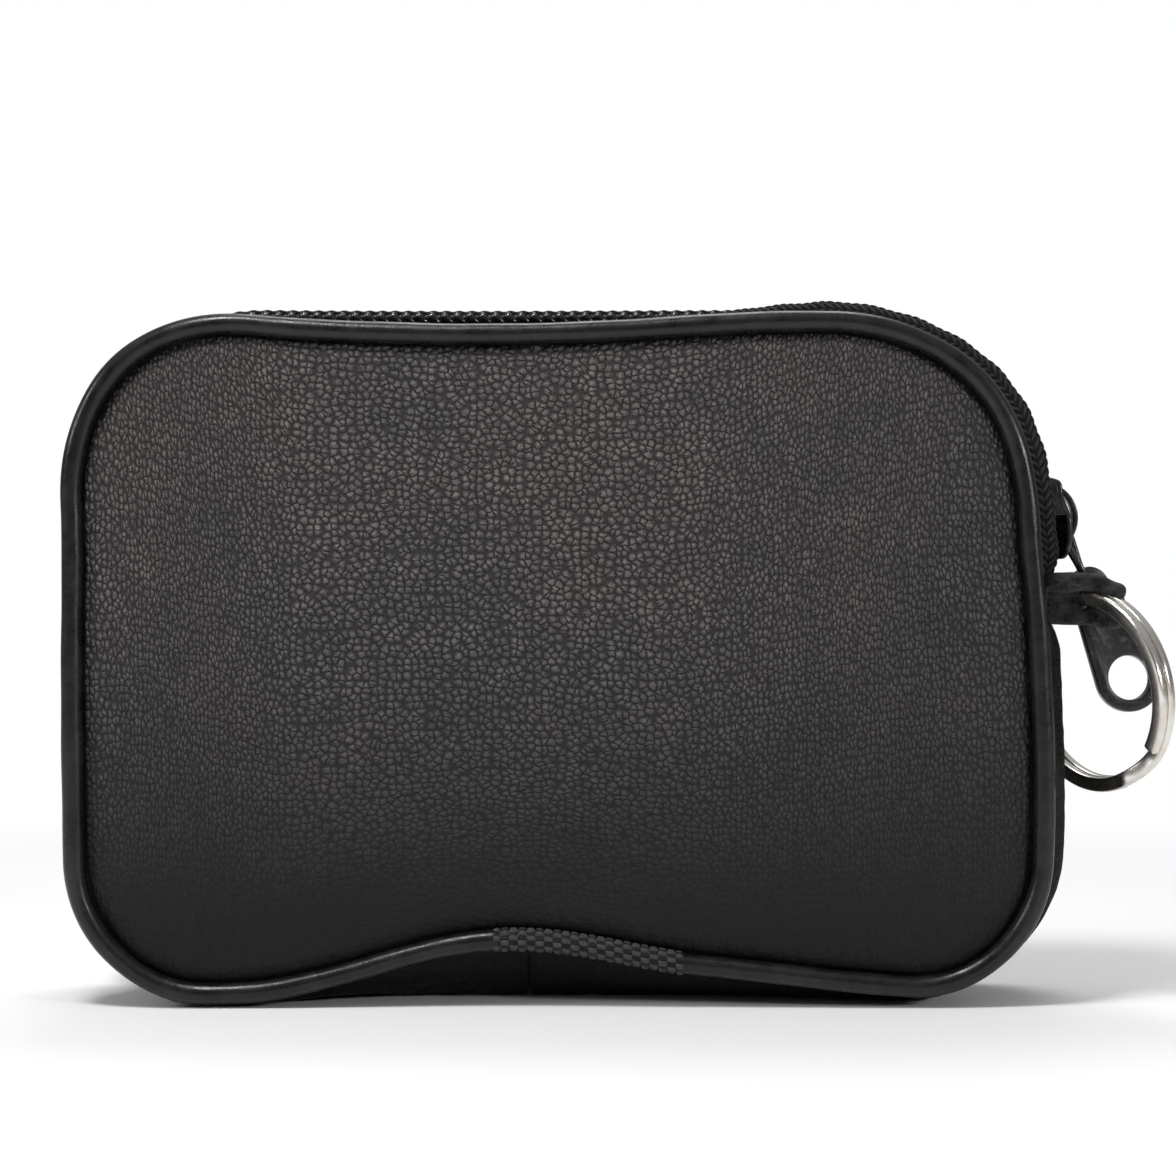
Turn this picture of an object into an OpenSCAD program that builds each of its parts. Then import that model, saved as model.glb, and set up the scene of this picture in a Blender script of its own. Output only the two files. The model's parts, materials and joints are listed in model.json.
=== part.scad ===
// Zipped leather coin purse with piped edges, a corner slider and a split ring on a leather tab.
// It stands on its gusset: +X towards the slider, +Z up, the front panel faces -Y.

/* [Body] */
// Width across the piping
body_w = 120; // [105:1:150]
// Height from the floor to the top of the closed zip
body_h = 86; // [76:1:110]
// Depth across the two pipings
body_t = 25; // [23:0.5:34]
// Radius of the upper corner that the slider runs round
slider_corner_r = 25; // [22:1:32]
// Radius of the other upper corner
far_corner_r = 22; // [18:1:28]
// Radius of the lower corners
bottom_corner_r = 15; // [12:1:20]

/* [Leather] */
// Thickness of the leather
leather_t = 1.4; // [1:0.1:2]
// How far the middle of a panel stands out past its edge
crown = 2.6; // [1.5:0.1:4]
// How far the side gusset tucks in between the pipings
gusset_tuck = 3.2; // [2.6:0.1:4]
// Height of the gusset under the piping
floor_gap = 1; // [0.8:0.1:2]
// Offset of the bottom gusset seam from the middle
bottom_seam_x = -4; // [-20:1:20]

/* [Piping] */
// Diameter of the piping
bead_d = 3.4; // [3:0.1:4]
// Diameter of the cord inside the piping
core_d = 2; // [1.6:0.1:2.2]
// Width of the sewn flange
flange_w = 6; // [5:0.5:8]
// Length of the woven sleeve over the joint in the piping
sleeve_l = 23.5; // [16:0.5:30]
// Offset of the sleeve from the middle
sleeve_x = 3.2; // [-10:0.1:10]

/* [Zip] */
// Thickness of the tape
tape_t = 0.6; // [0.5:0.05:0.7]
// Height of the coil
coil_h = 1.9; // [1.8:0.05:2.1]
// Width of one row of the coil
coil_w = 3; // [2.8:0.1:3.2]
// Distance from one coil turn to the next
coil_pitch = 1.6; // [1.5:0.05:1.8]
// Thickness of the coil wire
coil_wire = 0.62; // [0.5:0.01:0.65]
// Length of the straight zip below the corner that the slider runs round
zip_tail = 7.7; // [7:0.1:9]
// Angle of the far corner at which the zip ends
zip_far_angle = 172; // [150:1:178]

/* [Slider] */
// Length of the slider
slider_l = 10.2; // [9.6:0.1:11]
// Thickness of the slider's plates
plate_t = 1.1; // [0.9:0.05:1.2]
// Distance from the zip's lower end to the slider when the zip is closed
slider_up = 9.6; // [9.2:0.1:12]
// Clear height under the slider's cap
cap_room = 2.45; // [2.3:0.05:2.8]
// Width of the cap
cap_w = 2.4; // [2:0.1:2.5]

/* [Puller] */
// Wire of the link between slider and puller
link_wire = 1; // [0.9:0.05:1.05]
// Distance between the link's two bars
link_l = 7.6; // [6:0.5:9]
// Distance between the link's two legs
link_w = 4.6; // [4.4:0.1:5.2]
// Width of the puller at its lower end
puller_w = 8.6; // [7.5:0.1:10]
// Distance from the puller's eye to its lower hole
puller_l = 12.4; // [10:0.1:14]
// Thickness of the puller
puller_t = 1.4; // [1.2:0.1:1.6]
// Radius of the puller's lower hole
puller_hole_r = 2.8; // [2.2:0.1:3]
// Lean of the hanging puller away from the purse, in degrees
puller_lean = 23.5; // [18:0.5:30]

/* [Split ring] */
// Outer diameter of the ring
ring_d = 25; // [22:0.5:26]
// Width of the ring's wire
ring_band = 2.1; // [1.8:0.1:2.2]
// Thickness of one turn
ring_turn_t = 1.2; // [1:0.05:1.25]
// Turn of the ring away from the front, in degrees
ring_yaw = 56; // [50:1:62]
// Lean of the ring away from the purse, in degrees
ring_lean = 8.4; // [6:0.1:10]

/* [Ring tab] */
// Thickness of the tab's leather
tab_t = 1.2; // [1:0.1:1.4]
// Width of the tab
tab_w = 4.2; // [3.8:0.1:4.3]
// Length of the tab's loop
tab_l = 10.4; // [9:0.1:12]
// Clearance of the ring inside the tab's loop
tab_slack = 2; // [1.8:0.1:2.3]

/* [Hidden] */

$fn = 48;
hull_fn = 32;
clear = 0.2;
leather = "#2b2927";
piping_black = "#1b1b1c";
woven_black = "#222120";
nylon_black = "#161617";
metal_black = "#1a1a1c";
nickel = "#b9b6ad";
lining_grey = "#3a3a3d";

// The seam line runs round both panels through the middle of the piping. A profile swept along it
// is drawn with x out from the seam and y towards the front.
bead_r = bead_d / 2;
seam_x = body_w / 2 - bead_r;
seam_y = body_t / 2 - bead_r;
seam_low = floor_gap + bead_r;
tape_low = 0.3;
tape_top = tape_low + tape_t;
coil_gap = 0.03;
coil_top = tape_top + coil_gap + coil_h;
seam_high = body_h - coil_top;
flange_t = 0.6;
flange_low = -bead_r - 0.25;

corner_r = [bottom_corner_r, slider_corner_r, far_corner_r, bottom_corner_r];
corner = [
    [seam_x - corner_r[0], seam_low + corner_r[0]],
    [seam_x - corner_r[1], seam_high - corner_r[1]],
    [-seam_x + corner_r[2], seam_high - corner_r[2]],
    [-seam_x + corner_r[3], seam_low + corner_r[3]]];
side_l = [corner[0].x, corner[1].y - corner[0].y, corner[1].x - corner[2].x,
    corner[2].y - corner[3].y, -corner[3].x];

// Distances run anticlockwise from the middle of the bottom, seen from the front.
function arc_l(k) = PI / 2 * corner_r[k];
function side_start(k) = k == 0 ? 0 : side_start(k - 1) + side_l[k - 1] + arc_l(k - 1);
function side_end(k) = side_start(k) + side_l[k];
function side_of(s, k = 0) = k == 4 || s < side_end(k) + (k < 4 ? arc_l(k) : 0) ? k : side_of(s, k + 1);
function on_corner(s) = let (k = side_of(s)) k < 4 && s >= side_end(k);
function out_angle(s) = let (k = side_of(s))
    270 + 90 * k + (on_corner(s) ? (s - side_end(k)) / corner_r[k] * 180 / PI : 0);
function side_foot(k) = k == 0 ? [0, seam_low]
    : corner[k - 1] + corner_r[k - 1] * [cos(270 + 90 * k), sin(270 + 90 * k)];
function seam_point(s, out = 0) = let (k = side_of(s), a = out_angle(s), outward = [cos(a), sin(a)])
    on_corner(s) ? corner[k] + (corner_r[k] + out) * outward
    : side_foot(k) + (s - side_start(k)) * [-sin(a), cos(a)] + out * outward;

seam_l = side_end(4);
zip_end_z = corner[1].y - zip_tail;
zip_start_s = side_end(1) - zip_tail;
zip_stop_s = side_end(2) + far_corner_r * (zip_far_angle - 90) * PI / 180;
slider_s = zip_start_s + slider_up;
slider_rest = (slider_s - side_end(1)) / slider_corner_r * 180 / PI;

// Turns a profile or shape drawn on the front view (x right, y up, z forwards) into place.
module face_on() rotate([90, 0, 0]) children();

// Sweeps a profile along the seam line from one distance to another.
module sweep(from, to) {
    for (k = [0:4]) {
        a = max(from, k == 0 ? from : side_start(k));
        b = min(to, side_end(k));
        end = seam_point(b - 0.0001) + 0.0001 * [-sin(270 + 90 * k), cos(270 + 90 * k)];
        if (b > a + 0.001)
            translate([end.x, end.y, 0]) rotate([0, 0, 270 + 90 * k]) rotate([90, 0, 0])
                linear_extrude(b - a) children();
    }
    for (k = [0:3]) {
        a = max(from, side_end(k)) - side_end(k);
        b = min(to - side_end(k), arc_l(k));
        turn = 180 / PI / corner_r[k];
        if (b > a + 0.001) translate([corner[k].x, corner[k].y, 0]) {
            if (a > 0) rotate([0, 0, 270 + 90 * k + b * turn]) mirror([0, 1, 0]) arc((b - a) * turn, k) children();
            else rotate([0, 0, 270 + 90 * k]) arc(b * turn, k) children();
        }
    }
}
module arc(angle, k) rotate_extrude(angle = angle, $fn = 96) translate([corner_r[k], 0]) children();

// The filled outline of the seam, moved out by a distance.
module seam_face(out) {
    for (k = [0:3]) translate(corner[k]) circle(corner_r[k] + out, $fn = 96);
    polygon([for (k = [0:3], a = [270, 360]) corner[k]
        + (corner_r[k] + out) * [cos(a + 90 * k), sin(a + 90 * k)]]);
}

// --- panels ---------------------------------------------------------------------------------

panel_edge = -bead_r - clear;
panel_out = seam_y + flange_low + flange_t + 0.25 + leather_t;
panel_rings = 7;
panel_steps = 72;
middle = [0, (seam_low + seam_high) / 2];

function ring_share(j) = 1 - pow(1 - j / panel_rings, 1.7);
function panel_point(j, i, depth) = let (f = ring_share(j),
    edge = seam_point(seam_l * i / panel_steps, panel_edge), p = middle + f * (edge - middle))
    [p.x, p.y, panel_out + crown * (1 - pow(f, 2.6)) - depth];

// A crowned sheet: rings of points that shrink from the piping to the middle, on both faces.
module panel_sheet() {
    per_face = panel_rings * panel_steps;
    points = [for (depth = [0, leather_t], j = [1:panel_rings], i = [0:panel_steps - 1])
            panel_point(j, i, depth),
        [middle.x, middle.y, panel_out + crown],
        [middle.x, middle.y, panel_out + crown - leather_t]];
    function id(face, j, i) = face * per_face + (j - 1) * panel_steps + i % panel_steps;
    faces = [
        for (i = [0:panel_steps - 1]) [2 * per_face, id(0, 1, i + 1), id(0, 1, i)],
        for (i = [0:panel_steps - 1]) [2 * per_face + 1, id(1, 1, i), id(1, 1, i + 1)],
        for (j = [1:panel_rings - 1], i = [0:panel_steps - 1], half = [0, 1])
            half == 0 ? [id(0, j, i), id(0, j, i + 1), id(0, j + 1, i + 1)]
                : [id(0, j, i), id(0, j + 1, i + 1), id(0, j + 1, i)],
        for (j = [1:panel_rings - 1], i = [0:panel_steps - 1], half = [0, 1])
            half == 0 ? [id(1, j, i), id(1, j + 1, i + 1), id(1, j, i + 1)]
                : [id(1, j, i), id(1, j + 1, i), id(1, j + 1, i + 1)],
        for (i = [0:panel_steps - 1], half = [0, 1]) let (j = panel_rings)
            half == 0 ? [id(0, j, i), id(0, j, i + 1), id(1, j, i + 1)]
                : [id(0, j, i), id(1, j, i + 1), id(1, j, i)]];
    polyhedron(points, faces, convexity = 4);
}

module front_panel() color(leather) face_on() panel_sheet();
module back_panel() color(leather) mirror([0, 1, 0]) face_on() panel_sheet();

// --- gusset ---------------------------------------------------------------------------------

gusset_half = seam_y - bead_r - 0.5;
gusset_lip = 0.6;
gusset_bulge = 1;
bottom_flat = 0.8;
gusset_steps_across = 16;

function smooth(x, low, high) = let (t = min(max((x - low) / (high - low), 0), 1)) t * t * (3 - 2 * t);

// How much a place on the seam belongs to the floor: 1 along the bottom, 0 on the sides.
function bottomness(s) = let (d = min(abs(s), abs(seam_l - s))) 1 - smooth(d, side_end(0) - 2, side_start(1) + 4);
// How far the gusset is tucked in: not at all where it meets the zip at its upper end.
function tuck_share(s) = s < seam_l / 2 ? smooth(zip_start_s - s, 0.5, 5) : smooth(s - zip_stop_s, 0.5, 8);
function side_profile(u, s) = gusset_lip + gusset_bulge * sin(180 * smooth(abs(u), 0.55, 1))
    - (gusset_tuck + gusset_lip) * (1 - smooth(abs(u), 0.42, 0.85)) * tuck_share(s);
function bottom_profile(u) = seam_low - 1.9 * pow(max(0, (abs(u) - bottom_flat) / (1 - bottom_flat)), 2);
function gusset_out(u, s) = let (b = bottomness(s)) b * bottom_profile(u) + (1 - b) * side_profile(u, s);

// A band of leather along the seam from one distance to another, worked out as a grid on each face.
module gusset_band(from, to, steps) {
    across = gusset_steps_across;
    row = across + 1;
    function band_point(i, j, depth) = let (s = from + (to - from) * i / steps, u = 2 * j / across - 1,
        p = seam_point(s, gusset_out(u, s) - depth)) [p.x, p.y, u * gusset_half];
    points = [for (depth = [0, leather_t], i = [0:steps], j = [0:across]) band_point(i, j, depth)];
    function id(face, i, j) = face * (steps + 1) * row + i * row + j;
    function quad(a, b, c, d) = [[a, b, c], [a, c, d]];
    quads = [
        for (i = [0:steps - 1], j = [0:across - 1])
            quad(id(0, i, j), id(0, i, j + 1), id(0, i + 1, j + 1), id(0, i + 1, j)),
        for (i = [0:steps - 1], j = [0:across - 1])
            quad(id(1, i, j), id(1, i + 1, j), id(1, i + 1, j + 1), id(1, i, j + 1)),
        for (i = [0:steps - 1]) quad(id(0, i, 0), id(0, i + 1, 0), id(1, i + 1, 0), id(1, i, 0)),
        for (i = [0:steps - 1])
            quad(id(0, i, across), id(1, i, across), id(1, i + 1, across), id(0, i + 1, across)),
        for (j = [0:across - 1]) quad(id(0, 0, j), id(1, 0, j), id(1, 0, j + 1), id(0, 0, j + 1)),
        for (j = [0:across - 1])
            quad(id(0, steps, j), id(0, steps, j + 1), id(1, steps, j + 1), id(1, steps, j))];
    polyhedron(points, [for (q = quads, t = q) t], convexity = 6);
}

tab_slot = 1.3;
module gusset_right() color(leather) face_on() gusset_band(bottom_seam_x + clear / 2, zip_start_s - tab_slot, 34);
module gusset_left() color(leather) face_on()
    gusset_band(zip_stop_s + clear, seam_l + bottom_seam_x - clear / 2, 34);

// --- lining ---------------------------------------------------------------------------------

lining_t = 0.5;
lining_half = seam_y - bead_r - 0.9;
lining_in = gusset_tuck + leather_t + 0.7;

// A cloth bag: two flat sides sewn under the flanges, and a band that stays clear of the gusset.
module lining() color(lining_grey) face_on() {
    for (side = [0, 1]) mirror([0, 0, side]) translate([0, 0, lining_half - lining_t])
        linear_extrude(lining_t) seam_face(-bead_r);
    sweep(zip_stop_s + 2, seam_l) lining_band();
    sweep(0, zip_start_s - 4) lining_band();
}
module lining_band() translate([-lining_in - lining_t, -lining_half]) square([lining_t, 2 * lining_half]);

// --- piping ---------------------------------------------------------------------------------

core_gap = 0.05;
sleeve_t = 0.55;
sleeve_gap = 0.1;

module piping() translate([0, 0, seam_y]) sweep(0, seam_l) difference() {
    union() {
        circle(bead_r);
        translate([-flange_w, flange_low]) square([flange_w - 0.6, flange_t]);
    }
    circle(core_d / 2 + core_gap);
}
module piping_cord() translate([0, 0, seam_y]) sweep(0, seam_l) circle(core_d / 2);
module piping_sleeve() translate([sleeve_x + sleeve_l / 2, seam_low, seam_y]) rotate([0, -90, 0])
    linear_extrude(sleeve_l) difference() {
        circle(bead_r + sleeve_t);
        circle(bead_r + sleeve_gap);
        translate([-seam_y, bead_r - sleeve_gap]) square([2 * seam_y, seam_y]);
        translate([-seam_y, 0]) square([seam_y + bead_r / 2, seam_y]);
        translate([-seam_y, -seam_y]) square([seam_y - bead_r - clear, 2 * seam_y]);
    }

module front_piping() color(piping_black) face_on() piping();
module back_piping() color(piping_black) mirror([0, 1, 0]) face_on() piping();
module front_piping_cord() color(lining_grey) face_on() piping_cord();
module back_piping_cord() color(lining_grey) mirror([0, 1, 0]) face_on() piping_cord();
module front_piping_sleeve() color(woven_black) face_on() piping_sleeve();
module back_piping_sleeve() color(woven_black) mirror([0, 1, 0]) face_on() piping_sleeve();

// --- zip ------------------------------------------------------------------------------------

hook = 0.4;
post_half = 0.9;
tape_meet = 0.35;
parting = hook + post_half + clear;
coil_side = parting + coil_w - hook;
part_from = slider_s + 1.8;
part_full = slider_s - 1.6;
coil_mid = tape_top + coil_gap + coil_h / 2;
cord_r = coil_h / 2 - coil_wire - 0.05;

// How far a row stands aside at a distance along the seam: the slider's post parts the two rows.
function parted(s) = parting * (1 - smooth(s, part_full, part_from));

// One turn of the coil: a flat loop of wire that stands on the tape round the filler cord.
module coil_loop() linear_extrude(coil_wire, center = true) difference() {
    loop_outline(coil_h, coil_w);
    loop_outline(coil_h - 2 * coil_wire, coil_w - 2 * coil_wire);
}
module loop_outline(h, w) {
    for (side = [-1, 1]) translate([0, side * (w - h) / 2]) circle(h / 2);
    square([h, w - h], center = true);
}

module zip_tape() {
    edge = gusset_half;
    sweep(zip_start_s, part_from + 1.2)
        translate([tape_low, post_half + 2 * clear]) square([tape_t, edge - post_half - 2 * clear]);
    sweep(part_from + 1, zip_stop_s)
        translate([tape_low, tape_meet]) square([tape_t, edge - tape_meet]);
}
module zip_coil(shift) {
    turns = floor((zip_stop_s - zip_start_s - coil_pitch) / coil_pitch);
    for (i = [0:turns]) {
        s = zip_start_s + coil_pitch / 2 + shift + i * coil_pitch;
        p = seam_point(s, coil_mid);
        translate([p.x, p.y, coil_w / 2 - hook + parted(s)]) rotate([0, 0, out_angle(s)])
            rotate([90, 0, 0]) coil_loop();
    }
}
module zip_cord() {
    depth = coil_w / 2 - hook;
    translate([0, 0, depth + parting]) sweep(zip_start_s + clear, part_full) cord_section();
    translate([0, 0, depth]) sweep(part_from, zip_stop_s - clear) cord_section();
}
module cord_section() translate([coil_mid, 0]) circle(cord_r, $fn = 24);

module zip_tape_front() color(woven_black) face_on() zip_tape();
module zip_tape_back() color(woven_black) mirror([0, 1, 0]) face_on() zip_tape();
module zip_coil_front() color(nylon_black) face_on() zip_coil(0);
module zip_coil_back() color(nylon_black) mirror([0, 1, 0]) face_on() zip_coil(coil_pitch / 2);
module zip_cord_front() color(nylon_black) face_on() zip_cord();
module zip_cord_back() color(nylon_black) mirror([0, 1, 0]) face_on() zip_cord();

// --- slider ---------------------------------------------------------------------------------

// The slider's channel is curved with the corner, so that it runs round it. In the slider's own
// place x is out from the corner's centre, y along the zip towards the tail and z forwards.
run_gap = 0.3;
flange_wall = 0.8;
under_top = tape_low - run_gap;
over_low = coil_top + run_gap;
over_top = over_low + plate_t;
slider_half = slider_l / 2;
nose_w = 2 * (coil_side + run_gap + flange_wall);
tail_w = 2 * (coil_w - hook + run_gap + flange_wall);
wide_from = -1;
narrow_from = 3;

module slider_place() face_on() translate([corner[1].x, corner[1].y, 0]) rotate([0, 0, slider_rest]) children();

nose_cut = 1.5;
tail_cut = 0.9;

// Half of the slider's outline seen from outside: its half width at each place along it. The
// corners are cut on the outline itself and left square on the inset one.
function slider_sides(inset, end, cut) = [
    [-end, nose_w / 2 - inset - cut * nose_cut], [-end + nose_cut, nose_w / 2 - inset],
    [wide_from, nose_w / 2 - inset], [narrow_from, tail_w / 2 - inset],
    [end - tail_cut, tail_w / 2 - inset], [end, tail_w / 2 - inset - cut * tail_cut]];
module slider_plan(inset = 0, end = slider_half, cut = 1) polygon([
    for (p = slider_sides(inset, end, cut)) p,
    for (i = [5:-1:0]) [slider_sides(inset, end, cut)[i].x, -slider_sides(inset, end, cut)[i].y]]);
// A plan shape raised along the radius between two heights above the seam line.
module raised(low, high) translate([slider_corner_r + low, 0, 0]) rotate([90, 0, 90])
    linear_extrude(high - low) children();
// A shell round the corner's centre between two heights above the seam line.
module shell(low, high) rotate([0, 0, -20]) rotate_extrude(angle = 40, $fn = 128)
    translate([slider_corner_r + low, -nose_w]) square([high - low, 2 * nose_w]);

lug_l = 1;
lug_h = 0.7;
cap_t = 0.6;
cap_in_r = 4;
cap_mid = -0.3;
cap_axis = over_top + cap_room - cap_in_r;
lug_reach = sqrt(cap_in_r * cap_in_r - pow(over_top + lug_h - cap_axis, 2)) - 0.1;
pin_r = 0.35;
pin_at = 1.1;

module slider_body() color(metal_black) slider_place() difference() {
    union() {
        intersection() {
            shell(under_top - plate_t, under_top);
            raised(under_top - 2 * plate_t, under_top + 1) slider_plan();
        }
        intersection() {
            shell(tape_top + run_gap, over_top);
            raised(tape_top - 1, over_top + 1) difference() {
                slider_plan();
                slider_plan(flange_wall, slider_half + 2, 0);
            }
        }
        intersection() {
            shell(over_low, over_top);
            raised(over_low - 1, over_top + 1) slider_plan();
        }
        raised(under_top - plate_t / 2, over_low + plate_t / 2)
            polygon([[-slider_half + 0.3, 0.35], [-slider_half + 1.6, post_half], [-slider_half + 2.8, post_half],
                [-0.9, 0.3], [-0.9, -0.3], [-slider_half + 2.8, -post_half], [-slider_half + 1.6, -post_half],
                [-slider_half + 0.3, -0.35]]);
        for (end = [-1, 1]) raised(over_low + plate_t / 2, over_top + lug_h)
            translate([cap_mid + end * (lug_reach - lug_l / 2), 0]) square([lug_l, cap_w], center = true);
    }
    raised(over_low - 1, over_top + 1) translate([pin_at, 0]) circle(pin_r + 0.15, $fn = 24);
}
// A sprung arch of sheet whose feet stand on the outer plate, outside the two lugs.
module slider_cap() color(metal_black) slider_place() translate([slider_corner_r + cap_axis, cap_mid, 0])
    linear_extrude(cap_w, center = true) intersection() {
        difference() {
            circle(cap_in_r + cap_t, $fn = 96);
            circle(cap_in_r, $fn = 96);
        }
        translate([over_top - cap_axis + 0.1, -10]) square(20);
    }
// The leaf that pushes the locking pin between the coil turns.
module slider_lock_spring() color(nickel) slider_place() {
    leaf_t = 0.3;
    leaf_low = over_top + 0.25;
    translate([slider_corner_r + leaf_low, pin_at - 0.6, -0.7])
        cube([leaf_t, lug_reach + cap_mid - lug_l - 0.1 - pin_at + 0.6, 1.4]);
    translate([slider_corner_r + over_low - 0.15, pin_at, 0]) rotate([0, 90, 0])
        cylinder(r = pin_r, h = leaf_low - over_low + 0.15 + leaf_t / 2, $fn = 24);
}

// --- puller ---------------------------------------------------------------------------------

link_twist = 20;
plate_twist = 78;
link_corner_r = 1.2;
eye_r = 1.5;
eye_rim = 1.1;
bar_along = -1.5;
bar_out = over_top + cap_room / 2 - 0.1;
link_bar = corner[1] + [
    (slider_corner_r + bar_out) * cos(slider_rest) - bar_along * sin(slider_rest),
    (slider_corner_r + bar_out) * sin(slider_rest) + bar_along * cos(slider_rest)];
link_foot = link_bar + link_l * [sin(puller_lean), -cos(puller_lean)];

// Hangs a shape drawn face on, y up, from a point: leaned away from the purse and twisted.
module hang(p, twist) translate([p.x, 0, p.y]) rotate([0, -puller_lean, 0])
    rotate([0, 0, 90 - twist]) rotate([90, 0, 0]) children();

module puller_link() color(metal_black) hang(link_bar, link_twist) {
    half = link_w / 2 - link_corner_r;
    wire = link_wire / 2;
    for (side = [-1, 1]) translate([side * link_w / 2, -link_l + link_corner_r, 0]) rotate([-90, 0, 0])
        cylinder(r = wire, h = link_l - 2 * link_corner_r);
    for (y = [0, -link_l]) translate([-half, y, 0]) rotate([0, 90, 0]) cylinder(r = wire, h = 2 * half);
    for (i = [0:3]) {
        side = i == 0 || i == 3 ? 1 : -1;
        y = i < 2 ? -link_corner_r : -link_l + link_corner_r;
        translate([side * half, y, 0]) rotate([0, 0, 90 * i])
            rotate_extrude(angle = 90) translate([link_corner_r, 0]) circle(wire);
    }
}
module puller_plate() color(metal_black) hang(link_foot, plate_twist)
    linear_extrude(puller_t, center = true) translate([0, link_wire / 2 - eye_r + 0.2]) difference() {
        union() {
            circle(eye_r + eye_rim);
            translate([0, -puller_l]) circle(puller_w / 2);
            taper_sides(eye_r + eye_rim, puller_w / 2, puller_l);
        }
        circle(eye_r);
        translate([0, -puller_l]) circle(puller_hole_r);
    }
// The four-sided shape whose slanting sides touch an upper and a lower circle.
module taper_sides(top_r, low_r, apart) {
    lift = asin((low_r - top_r) / apart);
    polygon([
        top_r * [cos(lift), sin(lift)],
        top_r * [-cos(lift), sin(lift)],
        [0, -apart] + low_r * [-cos(lift), sin(lift)],
        [0, -apart] + low_r * [cos(lift), sin(lift)]]);
}

// --- split ring and its tab -----------------------------------------------------------------

ring_mean_r = (ring_d - ring_band) / 2;
ring_step = 15;
step_at = 300;
end_gap = 4;
ring_round = 0.3;
turn_gap = 0.06;
tab_back = coil_side + clear;
tab_depth = tab_back + tab_w / 2;
tab_z = zip_end_z - tab_slot / 2;
tab_room = ring_band + tab_slack;
tab_start = seam_x + gusset_lip + gusset_bulge + 0.25;
ring_hang = [tab_start + tab_l / 2 - 0.4, tab_z];

// The ring's back half hangs in the gusset's tuck; where the tuck is too narrow, the ring turns
// until it clears the gusset's edge.
ring_rear = [ring_hang.x + ring_mean_r * sin(ring_lean) - ring_turn_t - turn_gap, ring_d / 2 * sin(ring_yaw) - tab_depth];
ring_room = ring_rear.x - seam_x - gusset_lip - gusset_bulge - clear;
ring_heading = ring_rear.y < gusset_half / 2 ? ring_yaw : acos(ring_room / (ring_d / 2));

module ring_section(inset = 0) {
    half_band = ring_band / 2 - inset;
    half_turn = ring_turn_t / 2 - inset;
    square([2 * half_band, 2 * (half_turn - ring_round)], center = true);
    square([2 * (half_band - ring_round), 2 * half_turn], center = true);
    for (x = [-1, 1], y = [-1, 1])
        translate([x * (half_band - ring_round), y * (half_turn - ring_round)]) circle(ring_round, $fn = 16);
}
module ring_turn(from, to, y) rotate([0, 0, from]) rotate_extrude(angle = to - from, $fn = 128)
    translate([ring_mean_r, y]) ring_section();
module ring_slice(at, y) rotate([0, 0, at]) translate([ring_mean_r, 0, y]) rotate([90, 0, 0])
    linear_extrude(turn_gap) ring_section(turn_gap / 2);

// Two turns of flattened wire side by side, joined where the wire steps from one to the other.
module split_ring() color(nickel) translate([ring_hang.x, -tab_depth, ring_hang.y]) rotate([0, -ring_lean, 0])
    rotate([0, 0, -ring_heading]) rotate([90, 0, 0]) translate([0, -ring_mean_r, 0]) {
        height = (ring_turn_t + turn_gap) / 2;
        ring_turn(step_at + ring_step + end_gap, step_at + 360 - ring_step + 0.5, -height);
        ring_turn(step_at + ring_step - 0.5, step_at + 360 - ring_step - end_gap, height);
        for (i = [0:3]) hull() {
            for (end = [0, 1]) {
                a = -ring_step + 2 * ring_step * (i + end) / 4;
                ring_slice(step_at + a, height * (2 * smooth(a, -ring_step, ring_step) - 1));
            }
        }
    }

// A folded strip whose root is caught between the zip's lower end and the gusset.
module ring_tab() color(leather) face_on() translate([0, 0, tab_back]) {
    tongue_in = 3.4;
    tongue_t = tab_slot - 2 * clear;
    linear_extrude(min(tab_w, gusset_half - tab_back)) translate([tab_start - tongue_in, tab_z - tongue_t / 2])
        square([tongue_in + tab_t / 2, tongue_t]);
    linear_extrude(tab_w) difference() {
        loop_shape(tab_start, tab_start + tab_l, tab_room / 2 + tab_t, 1.4);
        loop_shape(tab_start + 0.85, tab_start + tab_l - tab_t, tab_room / 2, 0.6);
    }
}
// A strip's loop seen edge on: squarer at the seam and round at the tip, which droops a little.
module loop_shape(from, to, half, root_r) hull() {
    for (side = [-1, 1]) translate([from + root_r, tab_z + side * (half - root_r)]) circle(root_r, $fn = hull_fn);
    translate([to - half, tab_z - 0.3]) circle(half, $fn = hull_fn);
}

front_panel();
back_panel();
gusset_left();
gusset_right();
lining();
front_piping();
back_piping();
front_piping_cord();
back_piping_cord();
front_piping_sleeve();
back_piping_sleeve();
zip_tape_front();
zip_tape_back();
zip_coil_front();
zip_coil_back();
zip_cord_front();
zip_cord_back();
slider_body();
slider_cap();
slider_lock_spring();
puller_link();
puller_plate();
ring_tab();
split_ring();
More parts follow.
